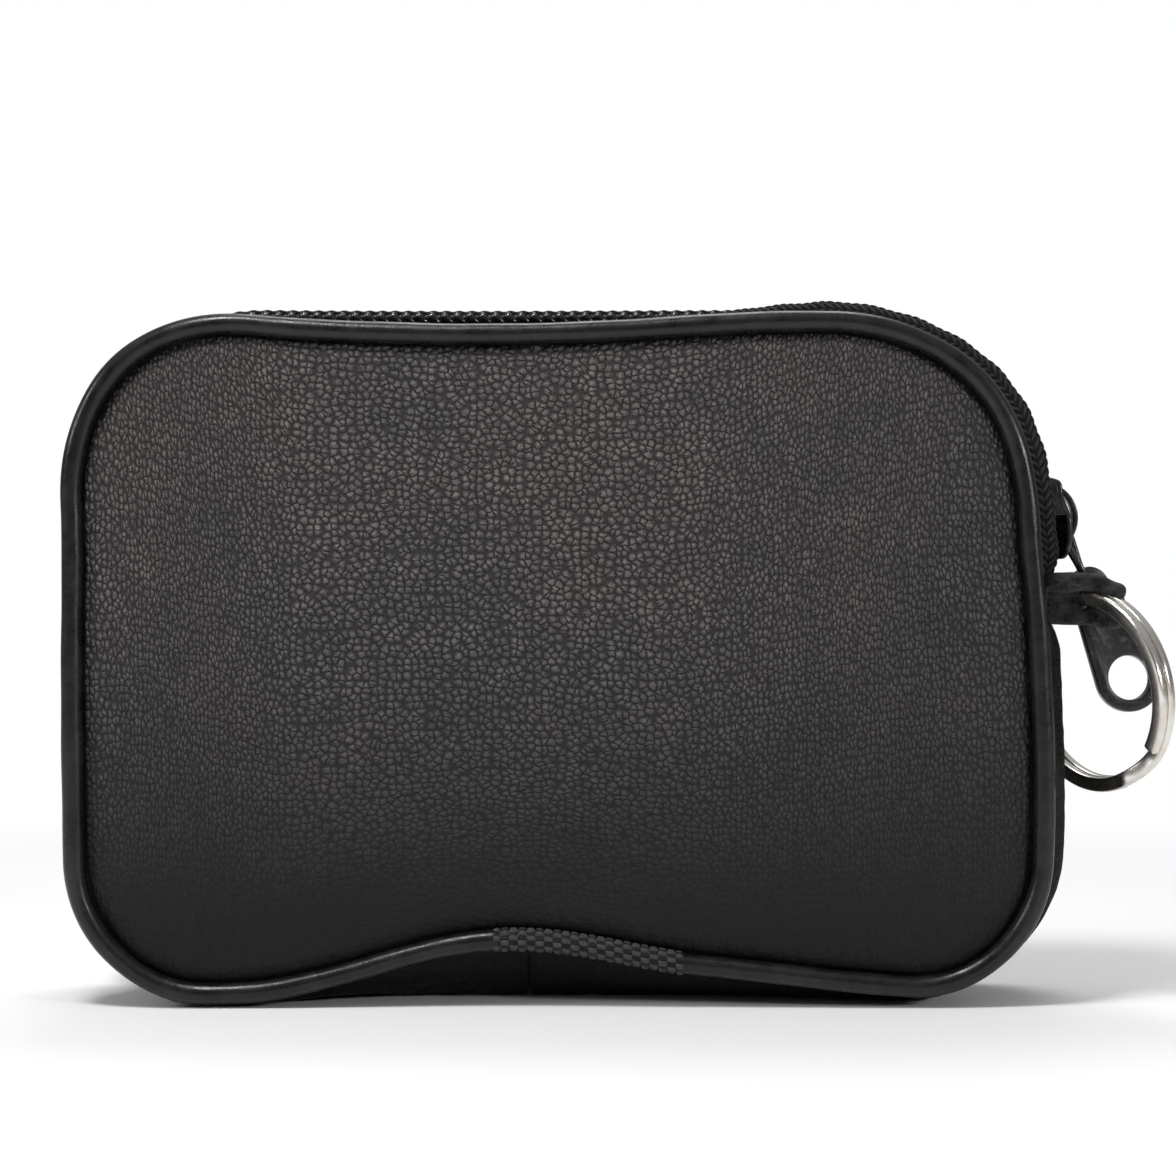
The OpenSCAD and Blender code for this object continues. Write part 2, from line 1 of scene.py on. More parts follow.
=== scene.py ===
import json
import math
import bmesh
import bpy
import numpy as np
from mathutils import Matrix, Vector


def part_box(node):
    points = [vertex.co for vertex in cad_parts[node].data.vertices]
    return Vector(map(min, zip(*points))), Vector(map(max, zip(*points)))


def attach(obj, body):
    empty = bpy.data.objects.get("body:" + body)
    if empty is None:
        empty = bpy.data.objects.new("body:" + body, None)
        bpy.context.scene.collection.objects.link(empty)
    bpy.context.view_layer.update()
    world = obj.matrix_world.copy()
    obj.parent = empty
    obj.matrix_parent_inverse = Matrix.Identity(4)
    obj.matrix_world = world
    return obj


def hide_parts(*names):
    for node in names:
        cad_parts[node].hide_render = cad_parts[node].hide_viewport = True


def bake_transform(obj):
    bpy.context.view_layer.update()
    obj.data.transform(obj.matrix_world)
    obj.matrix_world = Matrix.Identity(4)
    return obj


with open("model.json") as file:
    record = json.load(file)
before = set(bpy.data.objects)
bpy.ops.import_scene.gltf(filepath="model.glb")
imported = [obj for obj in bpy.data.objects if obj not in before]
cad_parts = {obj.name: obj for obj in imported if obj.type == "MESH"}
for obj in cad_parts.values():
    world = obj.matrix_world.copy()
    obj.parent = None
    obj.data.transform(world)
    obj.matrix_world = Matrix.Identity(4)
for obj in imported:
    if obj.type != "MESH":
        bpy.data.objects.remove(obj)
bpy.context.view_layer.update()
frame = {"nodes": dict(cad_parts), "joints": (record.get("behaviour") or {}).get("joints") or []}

# Looks of a small zipped leather coin purse: piped leather panels, a tucked gusset, a coil zip
# with its slider and puller, and a split ring on a suede tab. Every size is in metres.
MM = 0.001


# --- sizes read from the frame ----------------------------------------------------------------

def joint(name):
    """The frame's joint of that name."""
    return next(j for j in frame["joints"] if j["name"] == name)


# The piping's radius as cut, its radius as it is seen, and how far out of the seam it is seen.
bead_r = 1.7 * MM
bead_seen = 1.3 * MM
bead_out = 0.32 * MM
leather_t = 1.3 * MM
lower_r = 15 * MM
far_r = 22 * MM
piping_low, piping_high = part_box("front_piping")
seam_x = piping_high.x - bead_r
seam_y = -piping_low.y - bead_r
seam_low = piping_low.z + bead_r
seam_high = piping_high.z - bead_r
corner_x, _, corner_z = joint("slider_travel")["pos_m"]
slider_r = seam_x - corner_x

coil_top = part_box("zip_coil_front")[1].z - seam_high
coil_h = 1.9 * MM
coil_w = 3.0 * MM
coil_wire = 0.31 * MM
coil_pitch = 1.6 * MM
coil_mid = coil_top - coil_h / 2
coil_hook = 0.4 * MM
tape_row, tape_yarn, tape_slant = 1.1 * MM, 0.95 * MM, 0.8
gusset_half = seam_y - bead_r - 0.5 * MM

# --- the seam line and how wear moves it ------------------------------------------------------

corner_list = [
    (seam_x - lower_r, seam_low + lower_r, lower_r),
    (corner_x, corner_z, slider_r),
    (-seam_x + far_r, seam_high - far_r, far_r),
    (-seam_x + lower_r, seam_low + lower_r, lower_r)]
straights = [
    corner_list[0][0], corner_list[1][1] - corner_list[0][1], corner_list[1][0] - corner_list[2][0],
    corner_list[2][1] - corner_list[3][1], -corner_list[3][0]]
knots = [(0.0, 0.0, seam_low + lower_r, lower_r, 1.5 * math.pi)]
for i, (cx, cz, r) in enumerate(corner_list):
    start = knots[-1][0] + straights[i]
    knots.append((start, cx, cz, r, (1.5 + i / 2) * math.pi))
    knots.append((start + math.pi / 2 * r, cx, cz, r, (2 + i / 2) * math.pi))
seam_length = knots[-1][0] + straights[4]
knots.append((seam_length, 0.0, seam_low + lower_r, lower_r, 3.5 * math.pi))
knots = np.array(knots).T


def seam_line(s, out=0.0):
    """The rounded rectangle the piping follows, anticlockwise from the middle of the bottom. The
    centre of curvature, the radius and the heading are straight-line functions of the distance s;
    the point is that centre plus (radius + out) along the heading. Gives x, z and the heading."""
    s = np.mod(s, seam_length)
    x, z, r, heading = (np.interp(s, knots[0], knots[k]) for k in (1, 2, 3, 4))
    return x + (r + out) * np.cos(heading), z + (r + out) * np.sin(heading), heading


def hump(d, reach):
    """The square of a cosine that falls from 1 at d = 0 to 0 at d = reach."""
    return np.cos(np.clip(np.abs(d) / reach, 0, 1) * math.pi / 2) ** 2


def smooth(x, low, high):
    """Rises from 0 at low to 1 at high as 3 t squared less 2 t cubed."""
    t = np.clip((x - low) / (high - low), 0, 1)
    return t * t * (3 - 2 * t)


# Each push is where it acts, how far it reaches along x and z, how far it moves the leather, and
# the share of it that the zip takes. Lengths are in millimetres.
pushes = np.array([
    (-9, 2, 28, 34, 0.0, 3.4, 1), (6, 2, 44, 34, 0.0, 3.3, 1), (-42, 2, 15, 24, 0.0, -0.7, 1),
    (-10, 84, 44, 40, 0.0, -1.3, 0.1), (-53, 79, 24, 26, -1.3, 1.3, 0.1), (52, 78, 22, 24, 0.5, 0.5, 0),
    (60, 62, 26, 17, -0.8, 0.0, 1), (60, 26, 40, 34, 1.1, 0.0, 1), (-60, 42, 40, 40, -0.4, 0.0, 1),
    (28, 85, 22, 20, 0.0, 0.3, 0)])


def worn(x, z, share=1.0, zip_part=0.0):
    """Adds to a place in the front view the sum of the pushes, each times a hump in x and in z.
    A zip part of 1 takes only the zip's own share of each push."""
    for px, pz, reach_x, reach_z, dx, dz, zip_share in pushes:
        weight = hump(x - px * MM, reach_x * MM) * hump(z - pz * MM, reach_z * MM) * share
        weight = weight * (1 - zip_part * (1 - zip_share)) * MM
        x, z = x + dx * weight, z + dz * weight
    return x, z


# Places along the seam: where the slider's corner starts, the zip's two ends, where the slider
# stands, and the gusset's seam under the purse, which is left of the middle.
side_top = knots[0][3]
zip_start = side_top - 7.7 * MM
zip_stop = knots[0][5] + far_r * math.radians(82)
slider_at = zip_start + 9.6 * MM
seam_left = 3.3 * MM
bottom_seam = seam_length - seam_left


# --- mesh helpers -----------------------------------------------------------------------------

def spread(count):
    """Angles evenly spaced once round a circle."""
    return np.arange(count) * 2 * math.pi / count


def cushion(count, power_across, power_up):
    """The two coordinates of a circle filled out towards its square: each keeps its sign, and its
    size is raised to a power below 1."""
    c, s = np.cos(spread(count)), np.sin(spread(count))
    return np.sign(c) * np.abs(c) ** power_across, np.sign(s) * np.abs(s) ** power_up


def together(*coordinates):
    """Points from coordinates that are numbers or arrays whose shapes match when stretched."""
    return np.stack(np.broadcast_arrays(*coordinates), -1)


def quads(rows, columns, loop_rows=False, loop_columns=False, first=0):
    """The four corners of each cell of a grid of rows by columns points, as an array."""
    i, j = np.meshgrid(np.arange(rows - (not loop_rows)), np.arange(columns - (not loop_columns)),
        indexing="ij")
    i, j = i.ravel(), j.ravel()
    up, across = (i + 1) % rows, (j + 1) % columns
    i, up = i * columns, up * columns
    return first + np.stack([i + j, up + j, up + across, i + across], 1)


def closed_slab(outer, inner, loop_rows=False):
    """Points and faces of a closed shell between two grids, with a rim round the open edges."""
    rows, columns = outer.shape[:2]
    count = rows * columns
    points = np.concatenate([outer.reshape(-1, 3), inner.reshape(-1, 3)])
    faces = [quads(rows, columns, loop_rows), quads(rows, columns, loop_rows, first=count)[:, ::-1]]
    walk = np.arange(rows if loop_rows else rows - 1)
    step = (walk + 1) % rows
    for j in (0, columns - 1):
        a, b = walk * columns + j, step * columns + j
        faces.append(np.stack([a, b, b + count, a + count], 1))
    if not loop_rows:
        j = np.arange(columns - 1)
        for i in (0, rows - 1):
            a = i * columns + j
            faces.append(np.stack([a, a + 1, a + 1 + count, a + count], 1))
    return points, np.concatenate(faces).tolist()


def tube(points, loop=False):
    """Points and faces of a row of rings, closed into a loop or capped at both ends."""
    rows, columns = points.shape[:2]
    faces = quads(rows, columns, loop, True).tolist()
    if not loop:
        faces += [list(range(columns)), list(range((rows - 1) * columns, rows * columns))]
    return points.reshape(-1, 3), faces


def swept(path, first_axis, second_axis, profile, loop=False):
    """Carries a profile along a path: each point is the path's point plus the profile's two
    coordinates along two axes given for every place on the path."""
    return tube(path[:, None, :] + profile[..., 0, None] * first_axis[:, None, :]
        + profile[..., 1, None] * second_axis[:, None, :], loop)


def joined(parts):
    """The points and faces of several parts as one shape."""
    points, faces, count = [], [], 0
    for part_points, part_faces in parts:
        points.append(part_points)
        faces += [[i + count for i in face] for face in part_faces]
        count += len(part_points)
    return np.concatenate(points), faces


def round_profile(radius, count):
    """A circle as profile coordinates; radius may be an array with one value for each place."""
    a = spread(count)
    return together(np.cos(a), np.sin(a)) * np.atleast_1d(radius)[:, None, None]


def seam_path(s, out, depth, zip_part=0.0):
    """Points along the worn seam at a height out of it and a depth forwards, with the outward and
    forward axes there."""
    x, z, heading = seam_line(s, out)
    x, z = worn(x, z, 1.0, zip_part)
    return together(x, -depth, z), together(np.cos(heading), 0, np.sin(heading)), together(0 * s, -1, 0)


def add_object(name, data):
    """A new object in the scene."""
    thing = bpy.data.objects.new(name, data)
    bpy.context.scene.collection.objects.link(thing)
    return thing


def settle(piece, name, body):
    """Hides the CAD node of the piece's name, if there is one, which the piece stands for, and hangs
    the piece on the body it rides on."""
    if name in frame["nodes"]:
        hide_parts(name)
    if body:
        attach(piece, body)


def put_piece(name, shape, body, material, uv=None, side=1):
    """Makes a smooth-shaded piece from points and faces, turned outwards, that rides on a body. A
    side of -1 mirrors it to the back of the purse. Flat coordinates that run out start again, as
    on the second face of a slab."""
    points, faces = shape
    mesh = bpy.data.meshes.new(name)
    mesh.from_pydata((points * (1, side, 1)).tolist(), [], faces)
    if uv is not None:
        corner_of = np.zeros(len(mesh.loops), np.int64)
        mesh.loops.foreach_get("vertex_index", corner_of)
        layer = mesh.uv_layers.new(name="flat")
        flat = np.resize(uv, (len(points), 2))
        layer.data.foreach_set("uv", flat[corner_of].astype(np.float32).ravel())
    shell = bmesh.new()
    shell.from_mesh(mesh)
    bmesh.ops.recalc_face_normals(shell, faces=shell.faces)
    shell.to_mesh(mesh)
    shell.free()
    mesh.shade_smooth()
    mesh.materials.append(material)
    piece = add_object(name, mesh)
    settle(piece, name, body)
    return piece


# --- finishes ---------------------------------------------------------------------------------

class Pattern:
    """Short names for the nodes that the look of a material or a world is built from."""

    def __init__(self, owner):
        owner.use_nodes = True
        self.tree = owner.node_tree

    def add(self, kind, settings=None, **inputs):
        node = self.tree.nodes.new(kind)
        for key, value in (settings or {}).items():
            setattr(node, key, value)
        for key, value in inputs.items():
            self.feed(node, key, value)
        return node

    def feed(self, node, socket, value):
        """Sets or links a socket, given by name with _ for a space, or as i and its number."""
        target = node.inputs[int(socket[1:]) if socket[1:].isdigit() else socket.replace("_", " ")]
        if isinstance(value, bpy.types.NodeSocket):
            self.tree.links.new(value, target)
        else:
            target.default_value = value

    def place(self, source="Object"):
        return self.add("ShaderNodeTexCoord").outputs[source]

    def stretched(self, vector, scale):
        return self.add("ShaderNodeMapping", Vector=vector, Scale=scale).outputs[0]

    def parts(self, vector):
        return self.add("ShaderNodeSeparateXYZ", Vector=vector).outputs

    def noise(self, vector, scale, detail=3.0, roughness=0.55):
        return self.add("ShaderNodeTexNoise", Vector=vector, Scale=scale, Detail=detail,
            Roughness=roughness).outputs["Fac"]

    def math(self, operation, a, b):
        return self.add("ShaderNodeMath", {"operation": operation}, i0=a, i1=b).outputs[0]

    def plus(self, a, b):
        return self.math("ADD", a, b)

    def times(self, a, b):
        return self.math("MULTIPLY", a, b)

    def zigzag(self, a, reach):
        return self.math("PINGPONG", a, reach)

    def span(self, value, low, high, to_low=0.0, to_high=1.0):
        return self.add("ShaderNodeMapRange", {"interpolation_type": "SMOOTHSTEP"}, Value=value,
            From_Min=low, From_Max=high, To_Min=to_low, To_Max=to_high).outputs["Result"]

    def mix(self, share, a, b):
        a, b = (c if isinstance(c, bpy.types.NodeSocket) else (*c, 1) for c in (a, b))
        return self.add("ShaderNodeMix", {"data_type": "RGBA"}, i0=share, i6=a, i7=b).outputs[2]

    def warp(self, vector, scale, amount):
        cloud = self.add("ShaderNodeTexNoise", Vector=vector, Scale=scale, Detail=1.0).outputs["Color"]
        off = self.add("ShaderNodeVectorMath", {"operation": "SUBTRACT"}, i0=cloud, i1=(0.5, 0.5, 0.5))
        size = self.add("ShaderNodeVectorMath", {"operation": "SCALE"}, i0=off.outputs[0], Scale=amount)
        moved = self.add("ShaderNodeVectorMath", {"operation": "ADD"}, i0=vector, i1=size.outputs[0])
        return moved.outputs[0]

    def cells(self, vector, scale, feature="DISTANCE_TO_EDGE", randomness=0.85, space="3D"):
        settings = {"feature": feature, "voronoi_dimensions": space}
        return self.add("ShaderNodeTexVoronoi", settings, Vector=vector, Scale=scale,
            Randomness=randomness).outputs["Distance"]

    def show(self, share, first, second, output):
        """Shows the first shader where share is 0 and the second where it is 1."""
        both = self.add("ShaderNodeMixShader", i0=share, i1=first.outputs[0], i2=second.outputs[0])
        self.feed(self.tree.nodes[output], "Surface", both.outputs[0])


class Finish(Pattern):
    """A material whose shader's own sockets hold what is the same all over."""

    def __init__(self, name, color, roughness, **sockets):
        self.material = bpy.data.materials.new(name)
        super().__init__(self.material)
        self.shader = self.tree.nodes["Principled BSDF"]
        for socket, value in {"Base Color": (*color, 1), "Roughness": roughness, **sockets}.items():
            self.into(socket, value)

    def into(self, socket, value):
        self.feed(self.shader, socket, value)

    def bump(self, height, distance):
        node = self.add("ShaderNodeBump", Height=height, Distance=distance, Strength=1.0)
        self.into("Normal", node.outputs["Normal"])


def pebbled_leather():
    """Panel leather: domed pebbles about a millimetre across, parted by creases painted dark, a painted
    shade, and pulled long towards the sides by the flat coordinates. Their tops are speckled and lie
    over a soft mottle of brown and black. Broad ripples run up and down it, and where they rise the
    pebble tops are painted lighter, a painted highlight with some wear by rubbing. Towards the bottom
    and the right the leather is drawn tight and smooth, and its colour is painted darker, a painted shade."""
    p = Finish("pebbled leather", (0.045, 0.04, 0.038), 0.5, Specular_IOR_Level=0.34)
    pebbles, unevenness = 1020.0, 0.82
    flat = p.place("UV")
    bent = p.warp(p.warp(flat, 900.0, 0.0005), 2400.0, 0.0004)
    across = p.cells(bent, pebbles, "F1", unevenness, "2D")
    gap = p.span(p.cells(bent, pebbles, randomness=unevenness, space="2D"), 0.0, 0.15)
    crease = p.times(gap, p.span(across, 0.68, 0.36, 0.2, 1.0))
    dome = p.span(across, 0.7, 0.0)
    speck = p.noise(flat, 4600.0, 3.0, 0.65)
    ripple = p.noise(p.stretched(flat, (420, 190, 1)), 1.0, 2.0)
    place = p.parts(p.place())
    # The grain is full and the colour lit at the upper middle; towards the bottom and the right the grain
    # fades and the colour is painted darker, a painted shade.
    side = p.span(place[0], 0.02, 0.062, 1.0, 0.62)
    grain_and_painted_light = p.times(p.span(place[2], 0.008, 0.058), side)
    height = p.plus(p.plus(p.times(dome, 0.8), p.times(crease, 0.35)), p.times(speck, 0.08))
    height = p.plus(p.times(height, p.plus(grain_and_painted_light, 0.1)), p.times(ripple, 0.9))
    mottle = p.span(p.noise(flat, 40.0, 5.0), 0.38, 0.66)
    tone = p.mix(mottle, (0.128, 0.12, 0.12), (0.178, 0.162, 0.152))
    tone = p.mix(p.span(speck, 0.34, 0.66, 0.85, 0.0), tone, (0.04, 0.037, 0.0365))
    # Pebble tops where the ripples rise are painted lighter: a painted highlight, partly wear by rubbing.
    rubbed_and_painted_highlight = p.times(p.span(ripple, 0.42, 0.66), dome)
    tone = p.mix(p.times(rubbed_and_painted_highlight, 0.26), tone, (0.32, 0.296, 0.28))
    # The creases are painted dark: a painted shade.
    tone = p.mix(crease, (0.03, 0.0275, 0.0275), tone)
    # Towards the bottom and the right the colour is painted darker: a painted shade.
    p.into("Base Color", p.mix(grain_and_painted_light, (0.0125, 0.0117, 0.0126), tone))
    dulled = p.times(p.span(crease, 0.0, 1.0, -0.16, 0.0), grain_and_painted_light)
    p.into("Specular IOR Level", p.plus(dulled, p.span(grain_and_painted_light, 0.0, 1.0, 0.18, 0.26)))
    p.into("Roughness", p.span(p.times(dome, grain_and_painted_light), 0.1, 0.9, 0.58, 0.42))
    p.bump(height, 0.0007)
    return p.material


def matte_leather():
    """Gusset leather: a smooth dull skin with fine short creases, painted darkest near the floor, a painted
    shade.
    """
    p = Finish("matte leather", (0.012, 0.0115, 0.0112), 0.62, Specular_IOR_Level=0.16)
    place = p.place()
    creases = p.cells(p.warp(place, 300.0, 0.002), 1250.0)
    height = p.plus(p.span(creases, 0.0, 0.3), p.times(p.noise(place, 420.0, 5.0), 1.3))
    tone = p.span(p.noise(place, 120.0, 4.0), 0.3, 0.7)
    tone = p.mix(tone, (0.009, 0.0088, 0.0088), (0.02, 0.0188, 0.018))
    # Near the floor the colour is painted darker: a painted shade.
    low = p.span(p.parts(place)[2], 0.004, 0.02)
    p.into("Base Color", p.mix(low, (0.0045, 0.0044, 0.0044), tone))
    p.into("Roughness", p.span(p.noise(place, 800.0), 0.3, 0.7, 0.5, 0.72))
    p.bump(height, 0.00009)
    return p.material


def piping_leather():
    """Piping: thin smooth leather drawn tight round a cord, with a soft shine, faint stretch lines
    along it and a little dust on the ridge."""
    p = Finish("piping leather", (0.009, 0.009, 0.0093), 0.28, Specular_IOR_Level=0.36)
    place = p.place()
    lines = p.noise(p.stretched(p.place("UV"), (160, 2600, 1)), 1.0, 3.0)
    skin = p.noise(place, 1900.0, 4.0)
    lump = p.noise(place, 150.0, 2.0)
    height = p.plus(p.plus(p.times(lines, 0.35), p.times(skin, 0.35)), p.times(lump, 1.6))
    tone = p.span(p.noise(place, 210.0, 4.0), 0.35, 0.72)
    p.into("Base Color", p.mix(tone, (0.005, 0.005, 0.0052), (0.015, 0.0147, 0.0147)))
    p.into("Roughness", p.span(p.noise(place, 600.0, 4.0), 0.3, 0.7, 0.24, 0.38))
    p.bump(height, 0.00007)
    return p.material


def woven_band():
    """The sleeve's flat black yarns: a chessboard in the flat coordinates, lighter where a yarn passes over
    and painted dark where it dips under, a painted shade, with fine threads along each yarn and a slight
    shine."""
    p = Finish("woven band", (0.014, 0.014, 0.0143), 0.45, Specular_IOR_Level=0.25)
    flat = p.place("UV")
    over = p.add("ShaderNodeTexChecker", Vector=flat, Scale=1.0).outputs["Fac"]
    threads = p.noise(p.stretched(flat, (1.5, 9.0, 1)), 1.0, 2.0)
    # Where a yarn dips under, its colour is painted dark: a painted shade.
    tone = p.times(p.span(threads, 0.3, 0.7, 0.6, 1.0), p.span(over, 0.0, 1.0, 0.12, 1.0))
    p.into("Base Color", p.mix(tone, (0.0012, 0.0012, 0.0013), (0.06, 0.06, 0.0615)))
    p.bump(threads, 0.00008)
    return p.material


def zip_tape_cloth():
    """Zip tape: a coarse herringbone of plump yarns whose slant turns over at every row across the
    tape. A yarn's place is the distance along plus the folded distance across; between the yarns
    and at each turn of the slant the colour is painted dark, a painted shade in the hollows there."""
    p = Finish("zip tape cloth", (0.009, 0.009, 0.009), 0.75, Sheen_Weight=0.03, Sheen_Roughness=0.5,
        Specular_IOR_Level=0.14)
    flat = p.warp(p.place("UV"), 900.0, 0.00025)
    along, across, _ = p.parts(flat)
    folded = p.times(p.zigzag(across, tape_row), tape_slant)
    yarn = p.zigzag(p.plus(along, folded), tape_yarn / 2)
    row = p.span(p.zigzag(across, tape_row / 2), 0.0, 0.0002)
    fuzz = p.noise(flat, 5200.0, 4.0, 0.6)
    plump = p.times(p.span(yarn, 0.00005, tape_yarn / 2), p.plus(p.times(row, 0.75), 0.25))
    # Between the yarns and at each turn of the slant the colour is painted dark: a painted shade.
    tone = p.times(plump, p.span(fuzz, 0.3, 0.7, 0.5, 1.0))
    p.into("Base Color", p.mix(tone, (0.0015, 0.0015, 0.0015), (0.05, 0.0492, 0.0485)))
    p.bump(p.plus(plump, p.times(fuzz, 0.4)), 0.0004)
    return p.material


def coil_nylon():
    """The coil's nylon: smooth black with a soft gloss and faint marks of wear."""
    p = Finish("coil nylon", (0.006, 0.006, 0.0063), 0.2, Specular_IOR_Level=0.65)
    place = p.place()
    p.into("Roughness", p.span(p.noise(place, 1400.0), 0.35, 0.65, 0.16, 0.32))
    p.bump(p.noise(place, 2600.0), 0.00002)
    return p.material


def twisted_thread(name, color, turns):
    """Thread or cord: slanting strands from the flat coordinates, painted darker between them, a painted
    shade.
    """
    p = Finish(name, color, 0.7, Sheen_Weight=0.2)
    along, across, _ = p.parts(p.place("UV"))
    strand = p.zigzag(p.plus(p.times(along, turns), across), 0.5)
    # Between the strands the colour is painted darker: a painted shade.
    dark = tuple(0.35 * c for c in color)
    p.into("Base Color", p.mix(p.span(strand, 0.0, 0.35), dark, color))
    p.bump(p.span(strand, 0.0, 0.5), 0.00006)
    return p.material


def black_enamel():
    """Stoved black enamel on the slider and puller: deep and glossy, a little orange peel in it and
    small scuffs that dull it."""
    p = Finish("black enamel", (0.008, 0.008, 0.0084), 0.3, Specular_IOR_Level=0.45, Coat_Weight=0.2,
        Coat_Roughness=0.18)
    place = p.place()
    scuff = p.span(p.noise(place, 900.0, 6.0, 0.7), 0.5, 0.72)
    p.into("Base Color", p.mix(scuff, (0.01, 0.01, 0.0104), (0.032, 0.0314, 0.0314)))
    p.into("Roughness", p.span(scuff, 0.0, 1.0, 0.26, 0.5))
    p.bump(p.noise(place, 1500.0, 2.0), 0.00002)
    return p.material


def nickel():
    """Polished nickel plate: warm white metal with fine scratches along the wire and dull smears."""
    p = Finish("nickel plate", (0.74, 0.71, 0.66), 0.17, Metallic=1.0)
    line = p.noise(p.stretched(p.place("UV"), (120, 14000, 1)), 1.0, 4.0)
    smear = p.noise(p.place(), 260.0, 4.0)
    p.into("Base Color", p.mix(p.span(smear, 0.4, 0.65), (0.76, 0.74, 0.7), (0.66, 0.6, 0.52)))
    p.into("Roughness", p.plus(p.span(smear, 0.3, 0.7, 0.1, 0.24), p.times(line, 0.1)))
    p.bump(line, 0.000008)
    return p.material


def suede():
    """The tab's flesh side: short clumped nap, grey where it stands up and painted black between, a painted
    shade.
    """
    p = Finish("suede", (0.02, 0.0205, 0.0215), 0.95, Sheen_Weight=0.12, Sheen_Roughness=0.35,
        Specular_IOR_Level=0.2)
    place = p.place()
    nap = p.noise(p.warp(place, 1100.0, 0.0009), 3300.0, 5.0, 0.7)
    clump = p.noise(place, 620.0, 4.0, 0.65)
    # Between the clumps of nap the colour is painted black: a painted shade.
    tone = p.span(p.plus(clump, p.times(nap, 0.5)), 0.55, 1.0)
    p.into("Base Color", p.mix(tone, (0.004, 0.0041, 0.0043), (0.05, 0.052, 0.055)))
    p.bump(p.plus(p.times(nap, 0.7), clump), 0.0007)
    return p.material


def lining_cloth():
    """Lining: a plain weave, over and under, as the product of two rows of waves, painted darker where the
    threads sink, a painted shade.
    """
    p = Finish("lining cloth", (0.05, 0.05, 0.055), 0.85, Sheen_Weight=0.2)
    thread = 0.25 * MM
    along, across, _ = p.parts(p.place("UV"))
    warp_wave, weft_wave = (p.times(p.zigzag(way, thread), 1 / thread) for way in (along, across))
    weave = p.times(warp_wave, weft_wave)
    # Where the threads sink the colour is painted darker: a painted shade.
    p.into("Base Color", p.mix(weave, (0.03, 0.03, 0.034), (0.075, 0.075, 0.082)))
    p.bump(weave, 0.0001)
    return p.material


panel_leather = pebbled_leather()
gusset_leather = matte_leather()
bead_leather = piping_leather()
band_cloth = woven_band()
tape_cloth = zip_tape_cloth()
nylon = coil_nylon()
filler = twisted_thread("filler cord", (0.09, 0.09, 0.09), 900.0)
sewing = twisted_thread("sewing thread", (0.02, 0.02, 0.021), 2500.0)
enamel = black_enamel()
plated = nickel()
nap_leather = suede()
inner_cloth = lining_cloth()


# --- camera, floor and lights -----------------------------------------------------------------

eye_x, eye_z, eye_distance = 4.0 * MM, 51.2 * MM, 340 * MM
view_width = 143.5 * MM
sensor = 36
purse_mid_z = 45 * MM


def set_camera():
    """A level camera square to the front panel, as wide as the view at the piping's depth."""
    data = bpy.data.cameras.new("camera")
    data.sensor_width = sensor
    data.lens = sensor * eye_distance / view_width
    data.clip_start = 0.01
    camera = add_object("camera", data)
    camera.location = (eye_x, -seam_y - eye_distance, eye_z)
    camera.rotation_euler = (math.pi / 2, 0, 0)
    bpy.context.scene.camera = camera


def set_floor():
    """A white floor at the height the purse stands on. Seen far from the purse it is plain white,
    with no shade, so that the floor and the sky behind it meet without a line."""
    p = Finish("floor", (0.9, 0.9, 0.905), 0.95, Specular_IOR_Level=0.0)
    away = p.add("ShaderNodeVectorMath", {"operation": "LENGTH"}, i0=p.place()).outputs["Value"]
    seen = p.add("ShaderNodeLightPath").outputs["Is Camera Ray"]
    plain = p.add("ShaderNodeEmission", Color=(1, 1, 1, 1), Strength=1.0)
    near, far = 0.12, 0.3
    p.show(p.times(p.span(away, near, far), seen), p.shader, plain, "Material Output")
    half = 6.0
    corners = [(-half, -half, 0), (half, -half, 0), (half, half, 0), (-half, half, 0)]
    mesh = bpy.data.meshes.new("floor")
    mesh.from_pydata(corners, [], [(0, 1, 2, 3)])
    mesh.materials.append(p.material)
    add_object("floor", mesh)


def area_light(name, place, size, power):
    """A square soft lamp at a place, turned towards the middle of the purse."""
    data = bpy.data.lights.new(name, "AREA")
    data.shape = "SQUARE"
    data.size = size
    data.energy = power
    lamp = add_object(name, data)
    lamp.location = place
    x, y, z = place[0], place[1], place[2] - purse_mid_z
    lamp.rotation_euler = (math.atan2(math.hypot(x, y), z), 0, math.atan2(y, x) + math.pi / 2)


def set_lights():
    """A sky that is bright overhead and dim in front, a small lamp high in front, one at each
    side and a broad one high behind the purse. Seen directly the sky is plain white."""
    world = bpy.data.worlds.new("studio")
    bpy.context.scene.world = world
    p = Pattern(world)
    up = p.parts(p.place("Generated"))
    sky = p.tree.nodes["Background"]
    p.feed(sky, "Color", (1, 1, 1, 1))
    p.feed(sky, "Strength", p.plus(p.span(up[2], -0.1, 0.9, 0.06, 0.38), p.span(up[1], -0.2, 0.9, 0.0, 0.14)))
    rays = p.add("ShaderNodeLightPath").outputs
    direct = p.math("MAXIMUM", rays["Is Camera Ray"], rays["Is Transmission Ray"])
    p.show(direct, sky, p.add("ShaderNodeBackground", Color=(1, 1, 1, 1), Strength=1.0), "World Output")
    area_light("key", (-0.1, -0.15, 0.4), 0.09, 1.0)
    area_light("side", (-0.45, -0.16, 0.24), 0.12, 0.6)
    area_light("rim", (0.45, -0.3, 0.17), 0.06, 0.8)
    area_light("top", (0.03, 0.24, 0.5), 0.25, 0.95)


set_camera()
set_floor()
set_lights()
bpy.context.scene.view_settings.view_transform = "Standard"


# --- leather panels ---------------------------------------------------------------------------

crown = 2.6 * MM
valley = 9.4 * MM
panel_roll, panel_rise = 3.4 * MM, 1.75 * MM
panel_back = 9.0 * MM
panel_edge = 0.95 * MM
panel_mid = (seam_low + seam_high) / 2
middle_share = 0.004


def soft_swell(x, z, seed, size, height):
    """Gentle unevenness: a third of the sum of nine plane waves of random heading, length about
    size, and phase, times a height."""
    draw = np.random.default_rng(seed)
    total = np.zeros_like(x)
    waves = [draw.uniform(low, high, 9) for low, high in ((0, math.pi), (0, 7), (0.6, 1.6))]
    for turn, phase, length in zip(*waves):
        total += np.sin((x * math.cos(turn) + z * math.sin(turn)) * 2 * math.pi / (size * length) + phase)
    return height * total / 3


